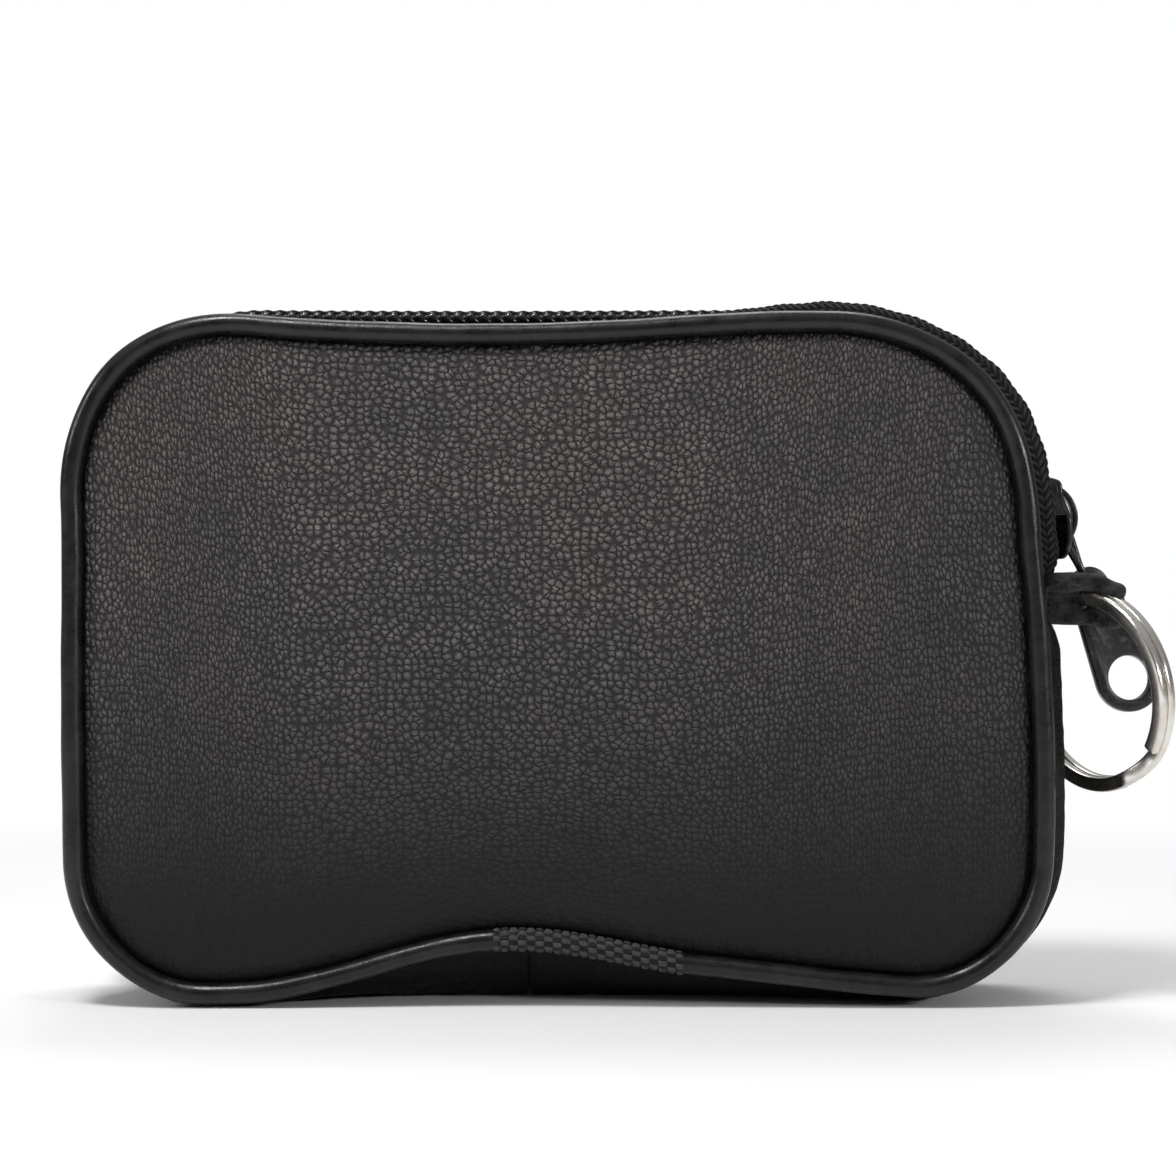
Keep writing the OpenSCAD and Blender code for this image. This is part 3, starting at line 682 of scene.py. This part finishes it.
def make_panel(name, side, seed):
    """A crowned sheet of leather. Rings of points shrink from the piping to the middle. The face
    rises out of the valley beside the piping along a quarter of an ellipse as wide as the roll,
    then swells by crown times (1 less the share of the way out to the power 3.4). The inner face
    lies a leather's thickness behind it."""
    rings, around = 74, 420
    s = np.arange(around) * seam_length / around
    share = (1 - np.linspace(0, 1, rings) ** 1.15)[:, None]
    share[-1] = middle_share
    edge_x, edge_z, _ = seam_line(s, -panel_edge)
    x = share * edge_x
    z = panel_mid + share * (edge_z - panel_mid)
    inset = (1 - share) * np.hypot(edge_x, edge_z - panel_mid)
    roll = np.sqrt(1 - (1 - np.clip(inset / panel_roll, 0, 1)) ** 2)
    swell = soft_swell(x, z, seed, 34 * MM, 0.22 * MM) + soft_swell(x, z, seed + 1, 13 * MM, 0.07 * MM)
    rise = panel_rise * roll + crown * (1 - share ** 3.4) + smooth(inset, 1.0 * MM, 7.0 * MM) * swell
    depth = valley + rise
    stretch = 1 + 0.5 * smooth(x, 12 * MM, 50 * MM) + 0.35 * smooth(-x, 30 * MM, 55 * MM)
    uv = together(x * stretch + seed * 0.31, z * (1.12 - 0.3 * (stretch - 1)) + seed * 0.17)
    x, z = worn(x, z)
    outer = together(x, -depth, z)
    inner = together(x, -np.maximum(depth - leather_t, panel_back), z)
    ends = [outer[-1].mean(0)[None], inner[-1].mean(0)[None]]
    points = np.concatenate([outer.reshape(-1, 3), inner.reshape(-1, 3), *ends])
    count = rings * around
    face = quads(rings, around, False, True)
    j = np.arange(around)
    k = (j + 1) % around
    rim = np.stack([j, k, count + k, count + j], 1)
    last = count - around
    faces = np.concatenate([face, face[:, ::-1] + count, rim]).tolist()
    faces += np.stack([last + j, last + k, np.full(around, 2 * count)], 1).tolist()
    faces += np.stack([count + last + k, count + last + j, np.full(around, 2 * count + 1)], 1).tolist()
    flat_mid = uv[-1].mean(0)[None]
    uv = np.concatenate([uv.reshape(-1, 2), uv.reshape(-1, 2), flat_mid, flat_mid])
    put_piece(name, (points, faces), "purse", panel_leather, uv, side)


make_panel("front_panel", 1, 3)
make_panel("back_panel", -1, 8)


# --- piping -----------------------------------------------------------------------------------

sleeve_shift = 0.8 * MM
sleeve_low, sleeve_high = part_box("front_piping_sleeve")
sleeve_start, sleeve_end = sleeve_low.x + sleeve_shift, sleeve_high.x + sleeve_shift
cord_r = 1.0 * MM
pressed_in = 0.25 * MM
bead_wobble = 0.025 * MM


def make_tube(name, radius, side, material, count, wobble=0.0, flange=False):
    """A tube carried once round the worn seam, its radius swelling by a few waves along it and
    pressed in under the sleeve. The piping also has its sewn flange, a flat strip that runs
    inwards behind the panel."""
    columns = 24
    s = np.arange(count) * seam_length / count
    turn = s * 2 * math.pi / seam_length
    waves = np.sin(turn * 9 + 1.3) + np.sin(turn * 31 + side)
    path, outward, forward = seam_path(s, bead_out, seam_y)
    x = (s + seam_length / 2) % seam_length - seam_length / 2
    pressed = smooth(x, sleeve_start + 0.3 * MM, sleeve_start + 1.5 * MM)
    pressed = pressed * (1 - smooth(x, sleeve_end - 1.5 * MM, sleeve_end - 0.3 * MM))
    profile = round_profile(radius + wobble * waves - pressed_in * pressed, columns)
    parts = [swept(path, outward, forward, profile, True)]
    uv = together(s[:, None], spread(columns) * radius).reshape(-1, 2)
    if flange:
        strip = np.array([[(-0.3, -0.9), (-5.5, -1.1), (-5.5, -1.6), (0.4, -1.5)]]) * MM
        parts.append(swept(path, outward, forward, strip, True))
        uv = np.concatenate([uv, together(np.repeat(s, 4), 0)])
    put_piece(name, joined(parts), "purse", material, uv, side)


def make_sleeve(name, side):
    """A woven tube slipped over the joint in the piping. Its radius goes up over a yarn and down
    under the next, like a chessboard: the product of two rows of humps, high on one colour of
    square and low on the other. Both ends turn in to the piping."""
    blocks_along, blocks_round, per_along, per_round = 22, 12, 8, 10
    yarn_over, yarn_under, sunk, end_in = 0.36 * MM, 0.06 * MM, 0.16 * MM, 0.22 * MM
    s = np.linspace(sleeve_start, sleeve_end, blocks_along * per_along + 1)
    a = spread(blocks_round * per_round)
    u = (np.arange(len(s)) / per_along)[:, None]
    v = (np.arange(len(a)) / per_round)[None]
    hill = (1 - np.abs(2 * (u % 1) - 1) ** 5) * (1 - np.abs(2 * (v % 1) - 1) ** 5)
    over = (np.floor(u) + np.floor(v)) % 2 > 0
    ends = np.minimum(s - s[0], s[-1] - s)[:, None]
    radius = bead_seen - sunk + hill * np.where(over, yarn_over, yarn_under)
    radius = radius - end_in * (1 - smooth(ends, 0, 0.5 * MM))
    radius = np.where(ends == 0, bead_seen - 0.3 * MM, radius)
    ring = together(np.cos(a), np.sin(a))
    shape = swept(*seam_path(s, bead_out, seam_y), ring * radius[..., None])
    put_piece(name, shape, "purse", band_cloth, together(u, v), side)


for word, side in (("front", 1), ("back", -1)):
    make_tube(word + "_piping", bead_seen, side, bead_leather, 720, bead_wobble, True)
    make_tube(word + "_piping_cord", cord_r, side, filler, 320)
    make_sleeve(word + "_piping_sleeve", side)


# --- gusset -----------------------------------------------------------------------------------

gusset_lip = 0.6 * MM
gusset_bulge = 1.0 * MM
ridge_extra = 2.3 * MM
gusset_tuck = 3.2 * MM
edge_lift = 2.3 * MM
seam_pucker = 0.9 * MM


def bottomness(s):
    """How much a place on the seam belongs to the floor: 1 along the bottom, 0 on the sides."""
    d = np.minimum(np.abs(s), np.abs(seam_length - s))
    return 1 - smooth(d, knots[0][1] - 2 * MM, knots[0][2] + 4 * MM)


def gusset_out(u, s):
    """How far the gusset stands out of the seam line: along the bottom it lies on the floor and
    turns up at its edges, and up the sides it bulges beside each piping and tucks in between."""
    right = s < seam_length / 2
    tuck = np.where(right, smooth(zip_start - s, 0.5 * MM, 5 * MM), smooth(s - zip_stop, 0.5 * MM, 8 * MM))
    ridge = gusset_bulge + ridge_extra * smooth(s, knots[0][1] - 2 * MM, knots[0][2] + 2 * MM) * right
    ridge = ridge * np.where(right, 0.35 + 0.65 * smooth(zip_start - s, 0.0, 7 * MM), 1)
    u = np.abs(u)
    pleat = gusset_lip + ridge * np.sin(math.pi * smooth(u, 0.4, 1.06))
    pleat = pleat - (gusset_tuck + gusset_lip) * (1 - smooth(u, 0.36, 0.85)) * tuck
    flat = seam_low - edge_lift * np.maximum(0, (u - 0.62) / 0.38) ** 2
    floor_share = bottomness(s)
    return floor_share * flat + (1 - floor_share) * pleat


def make_gusset(name, start, end, seed):
    """A band of leather between the two pipings. Its edges follow the worn seam, its middle keeps
    to the floor line, and short creases run across it, deepest in the pleat."""
    s, u = np.meshgrid(np.linspace(start, end, 260), np.linspace(-1, 1, 49), indexing="ij")
    crease = soft_swell(s, u * 8 * MM, seed, 7 * MM, 0.12 * MM)
    crease = crease + soft_swell(s, u * 3 * MM, seed + 1, 2.6 * MM, 0.035 * MM)
    near_seam = np.minimum(np.abs(s - start), np.abs(s - end))
    at_floor = bottomness(s)
    out = gusset_out(u, s) - np.abs(crease) * (1 - 0.6 * at_floor) * (1 - u ** 6)
    out = out - at_floor * seam_pucker * hump(near_seam, 2.2 * MM) * smooth(np.abs(u), 0.45, 0.7)
    share = np.abs(u) ** 1.4 * at_floor + (1 - at_floor)
    shells = []
    for inner in (0.0, leather_t):
        x, z, _ = seam_line(s, out - inner)
        x, z = worn(x, z, share)
        shells.append(together(x, -u * gusset_half * 1.06, np.maximum(z, inner)))
    shape = closed_slab(*shells)
    put_piece(name, shape, "purse", gusset_leather, together(s, u * gusset_half))


make_gusset("gusset_right", 0.05 * MM - seam_left, zip_start - 0.65 * MM, 21)
make_gusset("gusset_left", zip_stop + 0.2 * MM, bottom_seam - 0.05 * MM, 34)


# --- lining -----------------------------------------------------------------------------------

def make_lining():
    """A cloth bag: two flat sides inside the panels and a band inside the gusset, each a closed
    sheet half a millimetre thick."""
    half, thin, band_in = 8.2 * MM, 0.5 * MM, 5.3 * MM
    share = np.linspace(1, middle_share, 24)[None]
    x, z, _ = (c[:, None] for c in seam_line(np.arange(200) * seam_length / 200, -bead_r - 0.6 * MM))
    x = share * x
    z = panel_mid + share * (z - panel_mid)
    flat_side = together(x, z)
    x, z = worn(x, z, 0.85)
    sheets = [closed_slab(together(x, side * half, z), together(x, side * (half - thin), z), True)
        for side in (1, -1)]
    s = np.linspace(zip_stop + 2 * MM, zip_start - 4 * MM + seam_length, 260)[:, None]
    u = np.linspace(-1, 1, 13)[None]
    at_floor = bottomness(np.mod(s, seam_length))
    bands = []
    for depth in (band_in, band_in + thin):
        x, z, _ = seam_line(s, -depth)
        x, z = worn(x, z, np.abs(u) * at_floor + 1 - at_floor)
        bands.append(together(x, u * half, z))
    sheets.append(closed_slab(*bands))
    flat_band = together(s, u * half).reshape(-1, 2)
    uv = np.concatenate([np.tile(flat_side.reshape(-1, 2), (4, 1)), np.tile(flat_band, (2, 1))])
    put_piece("lining", joined(sheets), "purse", inner_cloth, uv)


make_lining()


# --- zip --------------------------------------------------------------------------------------

tape_seam_y = 9.35 * MM
post_gap = 1.5 * MM
tape_t = 0.5 * MM
pucker_step = 5.2 * MM
zip_cord_r = 0.52 * MM
stitch_r = 0.13 * MM


def before_post(s):
    """1 on the open side of the slider's post, 0 on the closed side."""
    return 1 - smooth(s, slider_at - 1.6 * MM, slider_at + 1.8 * MM)


def put_zip_piece(kind, word, shape, material, uv=None):
    """A piece of the zip's front or back half, mirrored for the back. It rides on no body, and its place
    is baked into its points."""
    side = 1 if word == "front" else -1
    piece = put_piece(kind + "_" + word, shape, None, material, uv, side)
    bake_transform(piece)


def tape_roll(s):
    """How high the tape stands proud of its seam: low along the top, high round the slider's
    corner, where the tape is longer than the coil it is sewn to."""
    x, _, _ = seam_line(s)
    side = 1 - smooth(s, side_top + 10 * MM, side_top + 36 * MM)
    round_corner = 1.95 * smooth(x, 8 * MM, 36 * MM) + 0.95 * side
    return (0.9 + round_corner * smooth(s, zip_start - 2 * MM, zip_start + 5 * MM)) * MM


def make_tape(word):
    """A woven tape. Across it the height is a hump of the roll's height between the seam and the
    coil, then flat under the coil; towards the slider the two tapes stand apart."""
    rows, columns = 1040, 46
    s = np.linspace(zip_start, zip_stop, rows)[:, None]
    t = np.linspace(0, 1, columns)[None]
    inner_edge = (0.4 + 1.2 * before_post(s)) * MM
    depth = tape_seam_y + t * (inner_edge - tape_seam_y)
    high = tape_roll(s)
    rising = np.sin(math.pi / 2 * t / 0.3) ** 0.9
    falling = np.cos(math.pi / 2 * np.clip((t - 0.3) / 0.25, 0, 1)) ** 1.3
    shape = np.where(t < 0.3, rising, falling)
    out = -0.7 * MM + 1.5 * MM * smooth(t, 0.0, 0.16) + (high - 0.4 * MM) * shape
    pucker = 0.1 * MM * np.sin(s * 2 * math.pi / pucker_step) * shape * (high / (3.8 * MM))
    steps = [np.diff(line[rows // 5], prepend=line[rows // 5][0]) for line in (out, depth)]
    length = np.cumsum(np.hypot(*steps))
    folded = np.abs((length / tape_row + 1) % 2 - 1)[None] * tape_row
    weave = -0.08 * MM * np.cos((s + folded * tape_slant) * 2 * math.pi / tape_yarn) * shape
    walls = []
    for drop in (0.0, tape_t):
        x, z, _ = seam_line(s, out + pucker + weave - drop)
        x, z = worn(x, z, 1.0, smooth(t, 0.05, 0.6))
        walls.append(together(x, -depth, z))
    uv = together(s, length[None])
    put_zip_piece("zip_tape", word, closed_slab(*walls), tape_cloth, uv)


def coil_y(s):
    """How far a row's middle is from the zip's middle: the slider's post parts the rows."""
    return coil_w / 2 - coil_hook + post_gap * before_post(s)


def make_coil(word):
    """Nylon turns round a filler cord, the back row half a pitch further on than the front one.
    Each turn is a flat loop, half round at both ends, whose wire is wider on the outer side and
    whose plane slants along the zip; all turns are worked out in one array of turn, place on the
    loop and place on the wire."""
    turns = int((zip_stop - zip_start - coil_pitch) / coil_pitch) + 1
    shift = 0.5 if word == "front" else 1.0
    s = (zip_start + shift * coil_pitch + np.arange(turns) * coil_pitch)[:, None, None]
    on_loop, on_wire = 16, 7
    a, b = spread(on_loop)[:, None], spread(on_wire)
    half_h = coil_h / 2 - coil_wire
    away = np.sign(np.cos(a)) * (coil_w - coil_h) / 2 + np.cos(a) * half_h
    high = np.sin(a) * half_h
    outer = smooth(away, -0.6 * MM, 0.9 * MM)
    along = coil_wire * (1 + 0.85 * outer) * np.sin(b) + 0.3 * away + 0.8 * high * outer
    place = s + along
    x, z, _ = seam_line(place, coil_mid + high + coil_wire * np.cos(b) * np.sin(a))
    x, z = worn(x, z, 1.0, 1.0)
    y = coil_y(s) + away + coil_wire * np.cos(b) * np.cos(a)
    one = quads(on_loop, on_wire, True, True)
    faces = one[None] + (np.arange(turns) * on_loop * on_wire)[:, None, None]
    shape = together(x, -y, z).reshape(-1, 3), faces.reshape(-1, 4).tolist()
    put_zip_piece("zip_coil", word, shape, nylon)


def zip_thread(s, out, y, radius, columns):
    """A round thread that runs along the zip, and its flat coordinates."""
    path, outward, forward = seam_path(s, out, y, 1.0)
    uv = together(s[:, None], np.arange(columns) / columns)
    return swept(path, outward, forward, round_profile(radius, columns)), uv


def make_zip_cord(word):
    """The filler cord inside the coil's turns: a tube at the coil's middle height."""
    columns = 12
    s = np.linspace(zip_start + 0.2 * MM, zip_stop - 0.2 * MM, 420)
    shape, uv = zip_thread(s, coil_mid, coil_y(s), zip_cord_r, columns)
    put_zip_piece("zip_cord", word, shape, filler, uv)


def make_zip_stitching(word):
    """Two rows of lockstitch that hold the coil down: a thread along the zip that dips between
    the turns."""
    columns = 6
    s = np.linspace(zip_start + 1 * MM, zip_stop - 1 * MM, 1500)
    dip = 0.07 * MM * np.cos(s * 2 * math.pi / coil_pitch)
    high = coil_mid + coil_h / 2 - 0.14 * MM + dip
    rows = [zip_thread(s, high, coil_y(s) + aside, stitch_r, columns) for aside in (0.05 * MM, 0.85 * MM)]
    shape, uv = joined([thread for thread, _ in rows]), rows[0][1]
    put_zip_piece("zip_stitching", word, shape, sewing, uv)


for word in ("front", "back"):
    make_tape(word)
    make_coil(word)
    make_zip_cord(word)
    make_zip_stitching(word)


# --- slider and puller ------------------------------------------------------------------------

# In millimetres: half a plate's thickness, and half the width of the post and of the cap's lugs.
plate_half, post_wide, lug_wide = 0.4, 0.7, 1.2
link_half_w = 2.3 * MM
link_wire, link_leg_extra = 0.45, 0.05


def softened(node, body, width, segments):
    """A copy of an enamelled part with its edges rounded by a bevel."""
    mesh = frame["nodes"][node].data.copy()
    shell = bmesh.new()
    shell.from_mesh(mesh)
    bmesh.ops.remove_doubles(shell, verts=shell.verts, dist=1e-7)
    bmesh.ops.dissolve_limit(shell, angle_limit=math.radians(2), verts=shell.verts, edges=shell.edges)
    shell.to_mesh(mesh)
    shell.free()
    mesh.materials.clear()
    mesh.materials.append(enamel)
    piece = add_object(node + "_rounded", mesh)
    bevel = piece.modifiers.new("rounding", "BEVEL")
    bevel.width = width
    bevel.segments = segments
    bevel.limit_method = "ANGLE"
    bevel.angle_limit = math.radians(32)
    mesh.shade_smooth()
    settle(piece, node, body)


def slider_place(out, along, y):
    """Points in the slider's own place: out from the seam, along the zip, forwards."""
    angle = (slider_at - side_top) / slider_r
    out = out + slider_r
    x = corner_x + out * math.cos(angle) - along * math.sin(angle)
    z = corner_z + out * math.sin(angle) + along * math.cos(angle)
    return together(x, -y, z)


def make_slider_body():
    """Two plates joined by a post, with a folded wall at each side of the outer plate's tail and
    two lugs under the cap. The outer plate dips under the cap in its middle and stands up at its
    sides, in a long low arch. Each part is a closed sheet or a carried rounded rectangle; the zip
    runs between the plates."""
    t = np.linspace(-5.6, 4.8, 60)[:, None] * MM
    v = np.linspace(-1, 1, 41)[None]
    half_w = (5.15 - 1.5 * smooth(t, -1 * MM, 3 * MM)) * MM
    half_w = half_w * np.sqrt(1 - 0.4 * np.clip((np.abs(t + 0.4 * MM) - 3.7 * MM) / (1.5 * MM), 0, 1) ** 2)
    y = v * half_w
    bend = -t ** 2 / (2 * slider_r)
    rim_line = np.array([(-6.3, 4.5), (-5.75, 4.8), (-4.5, 5.35), (-3.3, 5.7), (-2, 5.85), (-0.8, 5.83),
        (0.47, 5.6), (2, 5.22), (4.24, 5.25), (4.8, 5.2)]).T
    rim = np.interp(t, rim_line[0] * MM, rim_line[1]) - plate_half
    raised = smooth(np.abs(y), 2.75 * MM, 3.55 * MM)
    top = (3.75 * (1 - raised) + rim * raised) * MM + bend * (1 - raised)
    edge = np.clip((1 - np.abs(v)) / 0.07, 0, 1)
    end = np.clip((5.2 * MM - np.abs(t + 0.4 * MM)) / (0.5 * MM), 0, 1)
    thick = plate_half * MM * np.sqrt(1 - (1 - edge) ** 2 * 0.8) * np.sqrt(1 - (1 - end) ** 2 * 0.8)
    sheets = [closed_slab(slider_place(level + thick, t, y), slider_place(level - thick, t, y))
        for level in (top, bend - 0.45 * MM)]
    across, updown = cushion(24, 0.4, 0.5)
    along = np.linspace(-0.15, 4.65, 30)[:, None] * MM
    wall_y = np.interp(along, t[:, 0], half_w[:, 0]) - plate_half * MM
    wall_top = np.interp(along, t[:, 0], top[:, 1])
    wall_low = 1.3 * MM + 0.9 * MM * hump(along + 0.15 * MM, 1.2 * MM)
    shut = np.sqrt(1 - np.clip((np.abs(along - 2.25 * MM) - 1.7 * MM) / (0.7 * MM), 0, 1) ** 2 * 0.6)
    out = (wall_top + wall_low) / 2 + updown * (wall_top - wall_low) / 2
    for side in (-1, 1):
        sheets.append(tube(slider_place(out, along, side * wall_y + across * 0.42 * MM * shut)))
    uprights = ((-0.6, 3.6, -3.1, post_wide, 1.3), (3.8, 4.9, -3.55, lug_wide, 0.5),
        (3.8, 4.9, 2.95, lug_wide, 0.5))
    for low, high, place, wide, long in uprights:
        out = np.linspace(low, high, 8)[:, None] * MM
        sheets.append(tube(slider_place(out, (place + updown * long) * MM, across * wide * MM)))
    put_piece("slider_body", joined(sheets), "slider", enamel)


make_slider_body()
softened("slider_cap", "slider", 0.18 * MM, 3)
softened("puller_plate", "puller_plate", 0.4 * MM, 4)
for material_slot in frame["nodes"]["slider_lock_spring"].material_slots:
    material_slot.material = plated


def unit(vectors):
    """The same directions with length 1."""
    return vectors / np.linalg.norm(vectors, axis=-1, keepdims=True)


def make_link():
    """A closed loop of flattened wire that hangs from the slider and carries the puller. Its middle
    line is a rounded rectangle between the two bars, turned a little on the way down; the legs are
    a little thicker than the bars."""
    bar = np.array(joint("puller_swing")["pos_m"])
    foot = np.array(joint("plate_swing")["pos_m"])
    half_long = np.linalg.norm(foot - bar) / 2
    down = unit(foot - bar)
    across = -np.array(joint("plate_swing")["axis"])
    face = np.cross(across, down)
    count = 120
    wide, high = cushion(count, 0.5, 0.55)
    turn = math.radians(12) * smooth((1 - high) / 2, 0.1, 0.9)[:, None]
    across = across * np.cos(turn) + face * np.sin(turn)
    face = np.cross(across, down)
    wide, high = link_half_w * wide[:, None], half_long * high[:, None]
    path = bar + down * half_long + wide * across - high * down
    along = unit(np.roll(path, -1, 0) - np.roll(path, 1, 0))
    inward = unit(np.cross(along, face))
    leg = smooth(np.abs(np.cos(spread(count))), 0.35, 0.75)
    size = together(link_wire, link_wire + link_leg_extra * leg) * MM
    profile = together(*cushion(20, 0.8, 0.8)) * size[:, None, :]
    shape = swept(path, inward, face, profile, True)
    put_piece("puller_link", shape, "puller_link", enamel)


make_link()


# --- ring tab ---------------------------------------------------------------------------------

tab_low, tab_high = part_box("ring_tab")
ring_hang = np.array(joint("ring_swing")["pos_m"])
ring_tangent = np.array(joint("ring_swing")["axis"])
ring_heading = math.degrees(math.atan2(-ring_tangent[1], ring_tangent[0]))
tab_root, tab_tip = tab_low.x + 1.2 * MM, tab_high.x - 0.1 * MM


def tab_loop():
    """The tab's loop. Round it an outer outline and the edge of the hole are each a rounded shape,
    and the section between them is a cushion. The hole slants with the ring's wire, a groove on
    each side shows where the two layers meet between the root and the hole, and the tip droops."""
    around, across = 176, 44
    half_w, half_h = 2.1 * MM, 3.05 * MM
    hole_half_w, hole_half_h = 1.6 * MM, 1.34 * MM
    middle_z = (tab_low.z + tab_high.z) / 2
    a = spread(around)[:, None]
    deep, apart = cushion(across, 0.6, 0.7)
    long, tall = (c[:, None] for c in cushion(around, 0.72, 0.62))
    from_mid = -deep * half_w
    outer_x = (tab_root + tab_tip) / 2 + (tab_tip - tab_root) / 2 * long
    outer_z = middle_z + half_h * tall
    slant = ring_tangent[0] / ring_tangent[1]
    hole_x = ring_hang[0] + from_mid * slant + hole_half_w * np.cos(a) + 0.35 * MM
    hole_z = ring_hang[2] + hole_half_h * np.sin(a) - 0.1 * MM
    x = (outer_x + hole_x) / 2 + apart * (outer_x - hole_x) / 2
    z = (outer_z + hole_z) / 2 + apart * (outer_z - hole_z) / 2
    along = (x - tab_root) / (tab_tip - tab_root)
    z = z - 1.5 * MM * smooth(along, 0.55, 1.05) * (apart * 0.5 + 0.5)
    z = z + 0.2 * MM * hump(along - 0.45, 0.45) * np.maximum(np.sin(a), 0) ** 0.5
    groove = hump(z - middle_z - 0.2 * MM, 0.9 * MM) * (np.cos(a) < 0.2)
    groove = groove * smooth(x, tab_root + 1.5 * MM, tab_root + 3.5 * MM)
    bumps = soft_swell(x, z, 5, 2.4 * MM, 0.1 * MM)
    bumps = bumps + soft_swell(x + ring_hang[1] + from_mid, z, 6, 5 * MM, 0.12 * MM)
    y = ring_hang[1] + from_mid * (1 - 0.34 * groove) + np.sign(from_mid) * bumps
    return tube(together(x, y, z), True)


def tab_fold():
    """The tab's broad upper fold, which hangs over the ring's front: a flattened tube along a bent
    line that is eased sixty times towards the mean of its neighbours."""
    half_w, half_t = 2.5 * MM, 1.25 * MM
    t = np.linspace(0, 1, 90)
    bends = np.array([(0.0, -0.2, 0.1), (-4.6, -0.5, 1.8), (-1.0, -1.0, 2.2), (2.4, -1.5, 1.75),
        (4.9, -1.7, 0.3)]) * MM
    bends[0, 0] = tab_root - ring_hang[0] + 0.8 * MM
    middle = together(*(np.interp(t, (0, 0.28, 0.55, 0.8, 1.0), line) for line in bends.T))
    for _ in range(60):
        middle[1:-1] = (middle[:-2] + 2 * middle[1:-1] + middle[2:]) / 4
    along = unit(np.gradient(middle, axis=0))
    deep = np.broadcast_to((0.0, -1.0, 0.0), along.shape)
    up = np.cross(deep, along)
    up *= np.sign(up[:, 2:3])
    close = np.sqrt(1 - np.clip((np.abs(t - 0.5) - 0.4) / 0.105, 0, 1) ** 2)[:, None]
    flat, tall = cushion(36, 0.6, 0.75)
    lengthwise, crosswise = np.broadcast_arrays(t[:, None] * 14 * MM, spread(36) * 1.5 * MM)
    swell = (1 + soft_swell(lengthwise, crosswise, 9, 3 * MM, 0.1)) * close
    profile = together(flat * half_w * swell, tall * half_t * swell)
    return swept(middle + ring_hang, deep, up, profile)


put_piece("ring_tab", joined([tab_loop(), tab_fold()]), "purse", nap_leather)


# --- split ring -------------------------------------------------------------------------------

ring_size = 25 * MM
ring_band, ring_thick = 1.8 * MM, 1.2 * MM
ring_cut_band = 2.1 * MM
ring_lean = 8.4


def turn_about(axis, degrees):
    """A rotation about one of the three axes, as a matrix that multiplies points from the left."""
    c, s = math.cos(math.radians(degrees)), math.sin(math.radians(degrees))
    j, k = [(1, 2), (2, 0), (0, 1)][axis]
    m = np.eye(3)
    m[j, j], m[j, k], m[k, j], m[k, k] = c, -s, s, c
    return m


def make_ring():
    """Flattened wire wound twice round. The middle line is a circle whose height goes from one
    turn's level to the other's in a short step, and the section is a rounded rectangle, with
    edges tipped over at the cut ends."""
    columns = 28
    mean_r = (ring_size - ring_band) / 2
    hang_r = (ring_size - ring_cut_band) / 2
    level = (ring_thick + 0.06 * MM) / 2
    a = np.linspace(319, 1001, 760)
    angle = np.radians(a)
    lift = level * (1 - 2 * smooth(a, 645, 675))
    middle = together(mean_r * np.cos(angle), mean_r * np.sin(angle) - hang_r, lift)
    out = together(np.cos(angle), np.sin(angle), 0)
    up = np.broadcast_to((0.0, 0.0, 1.0), out.shape)
    wide, high = cushion(columns, 0.36, 0.5)
    end = np.minimum(a - a[0], a[-1] - a)
    close = (1 - 0.16 * (1 - smooth(end, 0, 1.2)))[:, None, None]
    profile = together(ring_band / 2 * wide, ring_thick / 2 * high) * close
    points, faces = swept(middle, out, up, profile)
    turned = turn_about(1, -ring_lean) @ turn_about(2, -ring_heading) @ turn_about(0, 90)
    round_it = np.arange(columns) / columns * 2 * (ring_band + ring_thick)
    uv = together((angle * mean_r)[:, None], round_it)
    shape = points @ turned.T + ring_hang, faces
    put_piece("split_ring", shape, "split_ring", plated, uv)


make_ring()
